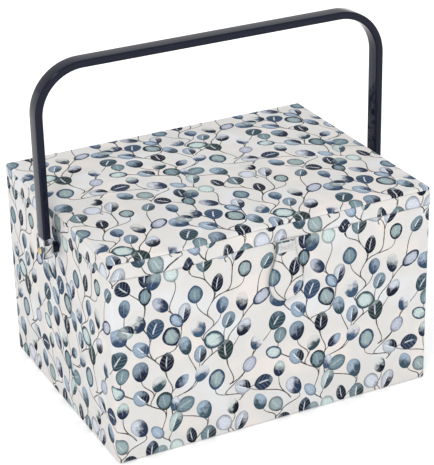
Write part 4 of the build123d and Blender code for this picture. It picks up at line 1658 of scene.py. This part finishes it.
def build_stage():
    """Pale floor, soft lights and the camera."""
    turn, rise, roll = (math.radians(CAMERA[key]) for key in ("turn", "rise", "roll"))
    back = Vector((math.sin(turn) * math.cos(rise), -math.cos(turn) * math.cos(rise), math.sin(rise)))
    right = Vector((0, 0, 1)).cross(back).normalized()
    up = back.cross(right)
    across = right * math.cos(roll) + up * math.sin(roll)
    upright = -right * math.sin(roll) + up * math.cos(roll)
    aim = Vector((0, 0, CAMERA["height"])) + across * CAMERA["aim"][0] + upright * CAMERA["aim"][1]
    lens = bpy.data.cameras.new("camera")
    lens.lens = CAMERA["lens"]
    lens.sensor_width = 36
    camera = bpy.data.objects.new("camera", lens)
    camera.matrix_world = Matrix.Translation(aim + back * CAMERA["distance"]) @ Matrix(
        (across, upright, back)).transposed().to_4x4()
    bpy.context.scene.collection.objects.link(camera)
    bpy.context.scene.camera = camera

    g = Graph("pale floor")
    g.bump(g.noise(g.place(), 40.0), 0.02, 0.0005)
    away = g.nodes.new("ShaderNodeVectorMath")
    away.operation = "LENGTH"
    g.plug(away.inputs[0], g.place())
    g.plug(g.shader.inputs["Emission Strength"], g.step(away.outputs["Value"], 0.3, 1.1, 0.26, 0.50))
    floor_look = g.finish((0.82, 0.82, 0.82), 0.9, Specular_IOR_Level=0.1, Emission_Color=(1, 1, 1, 1))
    shell = bmesh.new()
    bmesh.ops.create_grid(shell, x_segments=24, y_segments=24, size=3.0)
    for v in shell.verts:
        v.co.z = -0.0004 + 0.25 * max(0.0, v.co.xy.length - 1.9) ** 2
    mesh = bpy.data.meshes.new("floor")
    shell.to_mesh(mesh)
    shell.free()
    add_object("floor", mesh, floor_look)

    world = bpy.data.worlds.new("studio")
    world.use_nodes = True
    world.node_tree.nodes["Background"].inputs[0].default_value = (1.0, 1.0, 1.0, 1)
    world.node_tree.nodes["Background"].inputs[1].default_value = 0.90
    bpy.context.scene.world = world
    for name, place, size, power, tint in (
            ("key", (-1.3, -1.5, 2.3), 0.7, 20.0, (1.0, 0.985, 0.97)),
            ("fill", (1.9, -1.4, 1.5), 1.8, 1.5, (0.97, 0.985, 1.0)),
            ("top", (0.1, 0.5, 2.4), 1.6, 5.0, (1.0, 1.0, 1.0))):
        light = bpy.data.lights.new(name, "AREA")
        light.shape = "DISK"
        light.size = size
        light.energy = power
        light.color = tint
        lamp = bpy.data.objects.new(name, light)
        lamp.location = place
        lamp.rotation_euler = (Vector((0, 0, 0.12)) - Vector(place)).to_track_quat("-Z", "Y").to_euler()
        bpy.context.scene.collection.objects.link(lamp)
    bpy.context.scene.view_settings.view_transform = "Standard"
    bpy.context.scene.view_settings.look = "None"


# ------------------------------------------------------------------ operators and panel
class BOX_OT_body_cloth(bpy.types.Operator):
    """Wrap printed cloth round the body"""
    bl_idname = "box.body_cloth"
    bl_label = "Body cloth"

    def execute(self, context):
        build_body_cloth()
        build_base()
        return {"FINISHED"}


class BOX_OT_lid_cloth(bpy.types.Operator):
    """Cover the lid's rim and padded top"""
    bl_idname = "box.lid_cloth"
    bl_label = "Lid cloth"

    def execute(self, context):
        build_rim_cloth()
        build_lid_top()
        return {"FINISHED"}


class BOX_OT_tab(bpy.types.Operator):
    """Make the closing tab and its neck"""
    bl_idname = "box.tab"
    bl_label = "Closing tab"

    def execute(self, context):
        build_tab()
        return {"FINISHED"}


class BOX_OT_handle(bpy.types.Operator):
    """Make the bow handle and its sleeves"""
    bl_idname = "box.handle"
    bl_label = "Bow handle"

    def execute(self, context):
        build_handle()
        return {"FINISHED"}


class BOX_OT_linings(bpy.types.Operator):
    """Line the well and the lid"""
    bl_idname = "box.linings"
    bl_label = "Linings"

    def execute(self, context):
        build_linings()
        return {"FINISHED"}


class BOX_OT_hinge(bpy.types.Operator):
    """Make the hinge cloth and the stay ribbons"""
    bl_idname = "box.hinge"
    bl_label = "Hinge and stays"

    def execute(self, context):
        build_hinge_cloth()
        build_stays()
        return {"FINISHED"}


class BOX_OT_hard_parts(bpy.types.Operator):
    """Finish the trays, boards, rivets and tacks"""
    bl_idname = "box.hard_parts"
    bl_label = "Trays and fittings"

    def execute(self, context):
        dress_nodes()
        return {"FINISHED"}


class BOX_OT_stage(bpy.types.Operator):
    """Set the floor, lights and camera"""
    bl_idname = "box.stage"
    bl_label = "Stage"

    def execute(self, context):
        build_stage()
        return {"FINISHED"}


OPERATORS = (BOX_OT_stage, BOX_OT_body_cloth, BOX_OT_lid_cloth, BOX_OT_tab, BOX_OT_handle, BOX_OT_linings,
             BOX_OT_hinge, BOX_OT_hard_parts)


class BOX_PT_panel(bpy.types.Panel):
    """Lists the box's pieces"""
    bl_idname = "BOX_PT_panel"
    bl_label = "Sewing Box"
    bl_space_type = "VIEW_3D"
    bl_region_type = "UI"
    bl_category = "Sewing Box"

    def draw(self, context):
        for kind in OPERATORS:
            self.layout.operator(kind.bl_idname)
        for name in SETTING_GROUPS:
            box = self.layout.box()
            group = getattr(context.scene, name)
            for key in group.__annotations__:
                box.prop(group, key)


SETTING_GROUPS = {"box_print": PrintSettings, "box_covers": CoverSettings, "box_handle": HandleSettings,
                  "box_inside": InsideSettings}


def register():
    """Registers the settings, operators and panel."""
    for name, group in SETTING_GROUPS.items():
        bpy.utils.register_class(group)
        setattr(bpy.types.Scene, name, bpy.props.PointerProperty(type=group))
    for kind in (*OPERATORS, BOX_PT_panel):
        bpy.utils.register_class(kind)


def unregister():
    """Removes them again."""
    for kind in (BOX_PT_panel, *reversed(OPERATORS)):
        bpy.utils.unregister_class(kind)
    for name, group in SETTING_GROUPS.items():
        delattr(bpy.types.Scene, name)
        bpy.utils.unregister_class(group)


def main():
    """Builds everything."""
    register()
    for kind in OPERATORS:
        area, name = kind.bl_idname.split(".")
        getattr(getattr(bpy.ops, area), name)()
    bpy.context.view_layer.update()


if __name__ == "__main__":
    main()
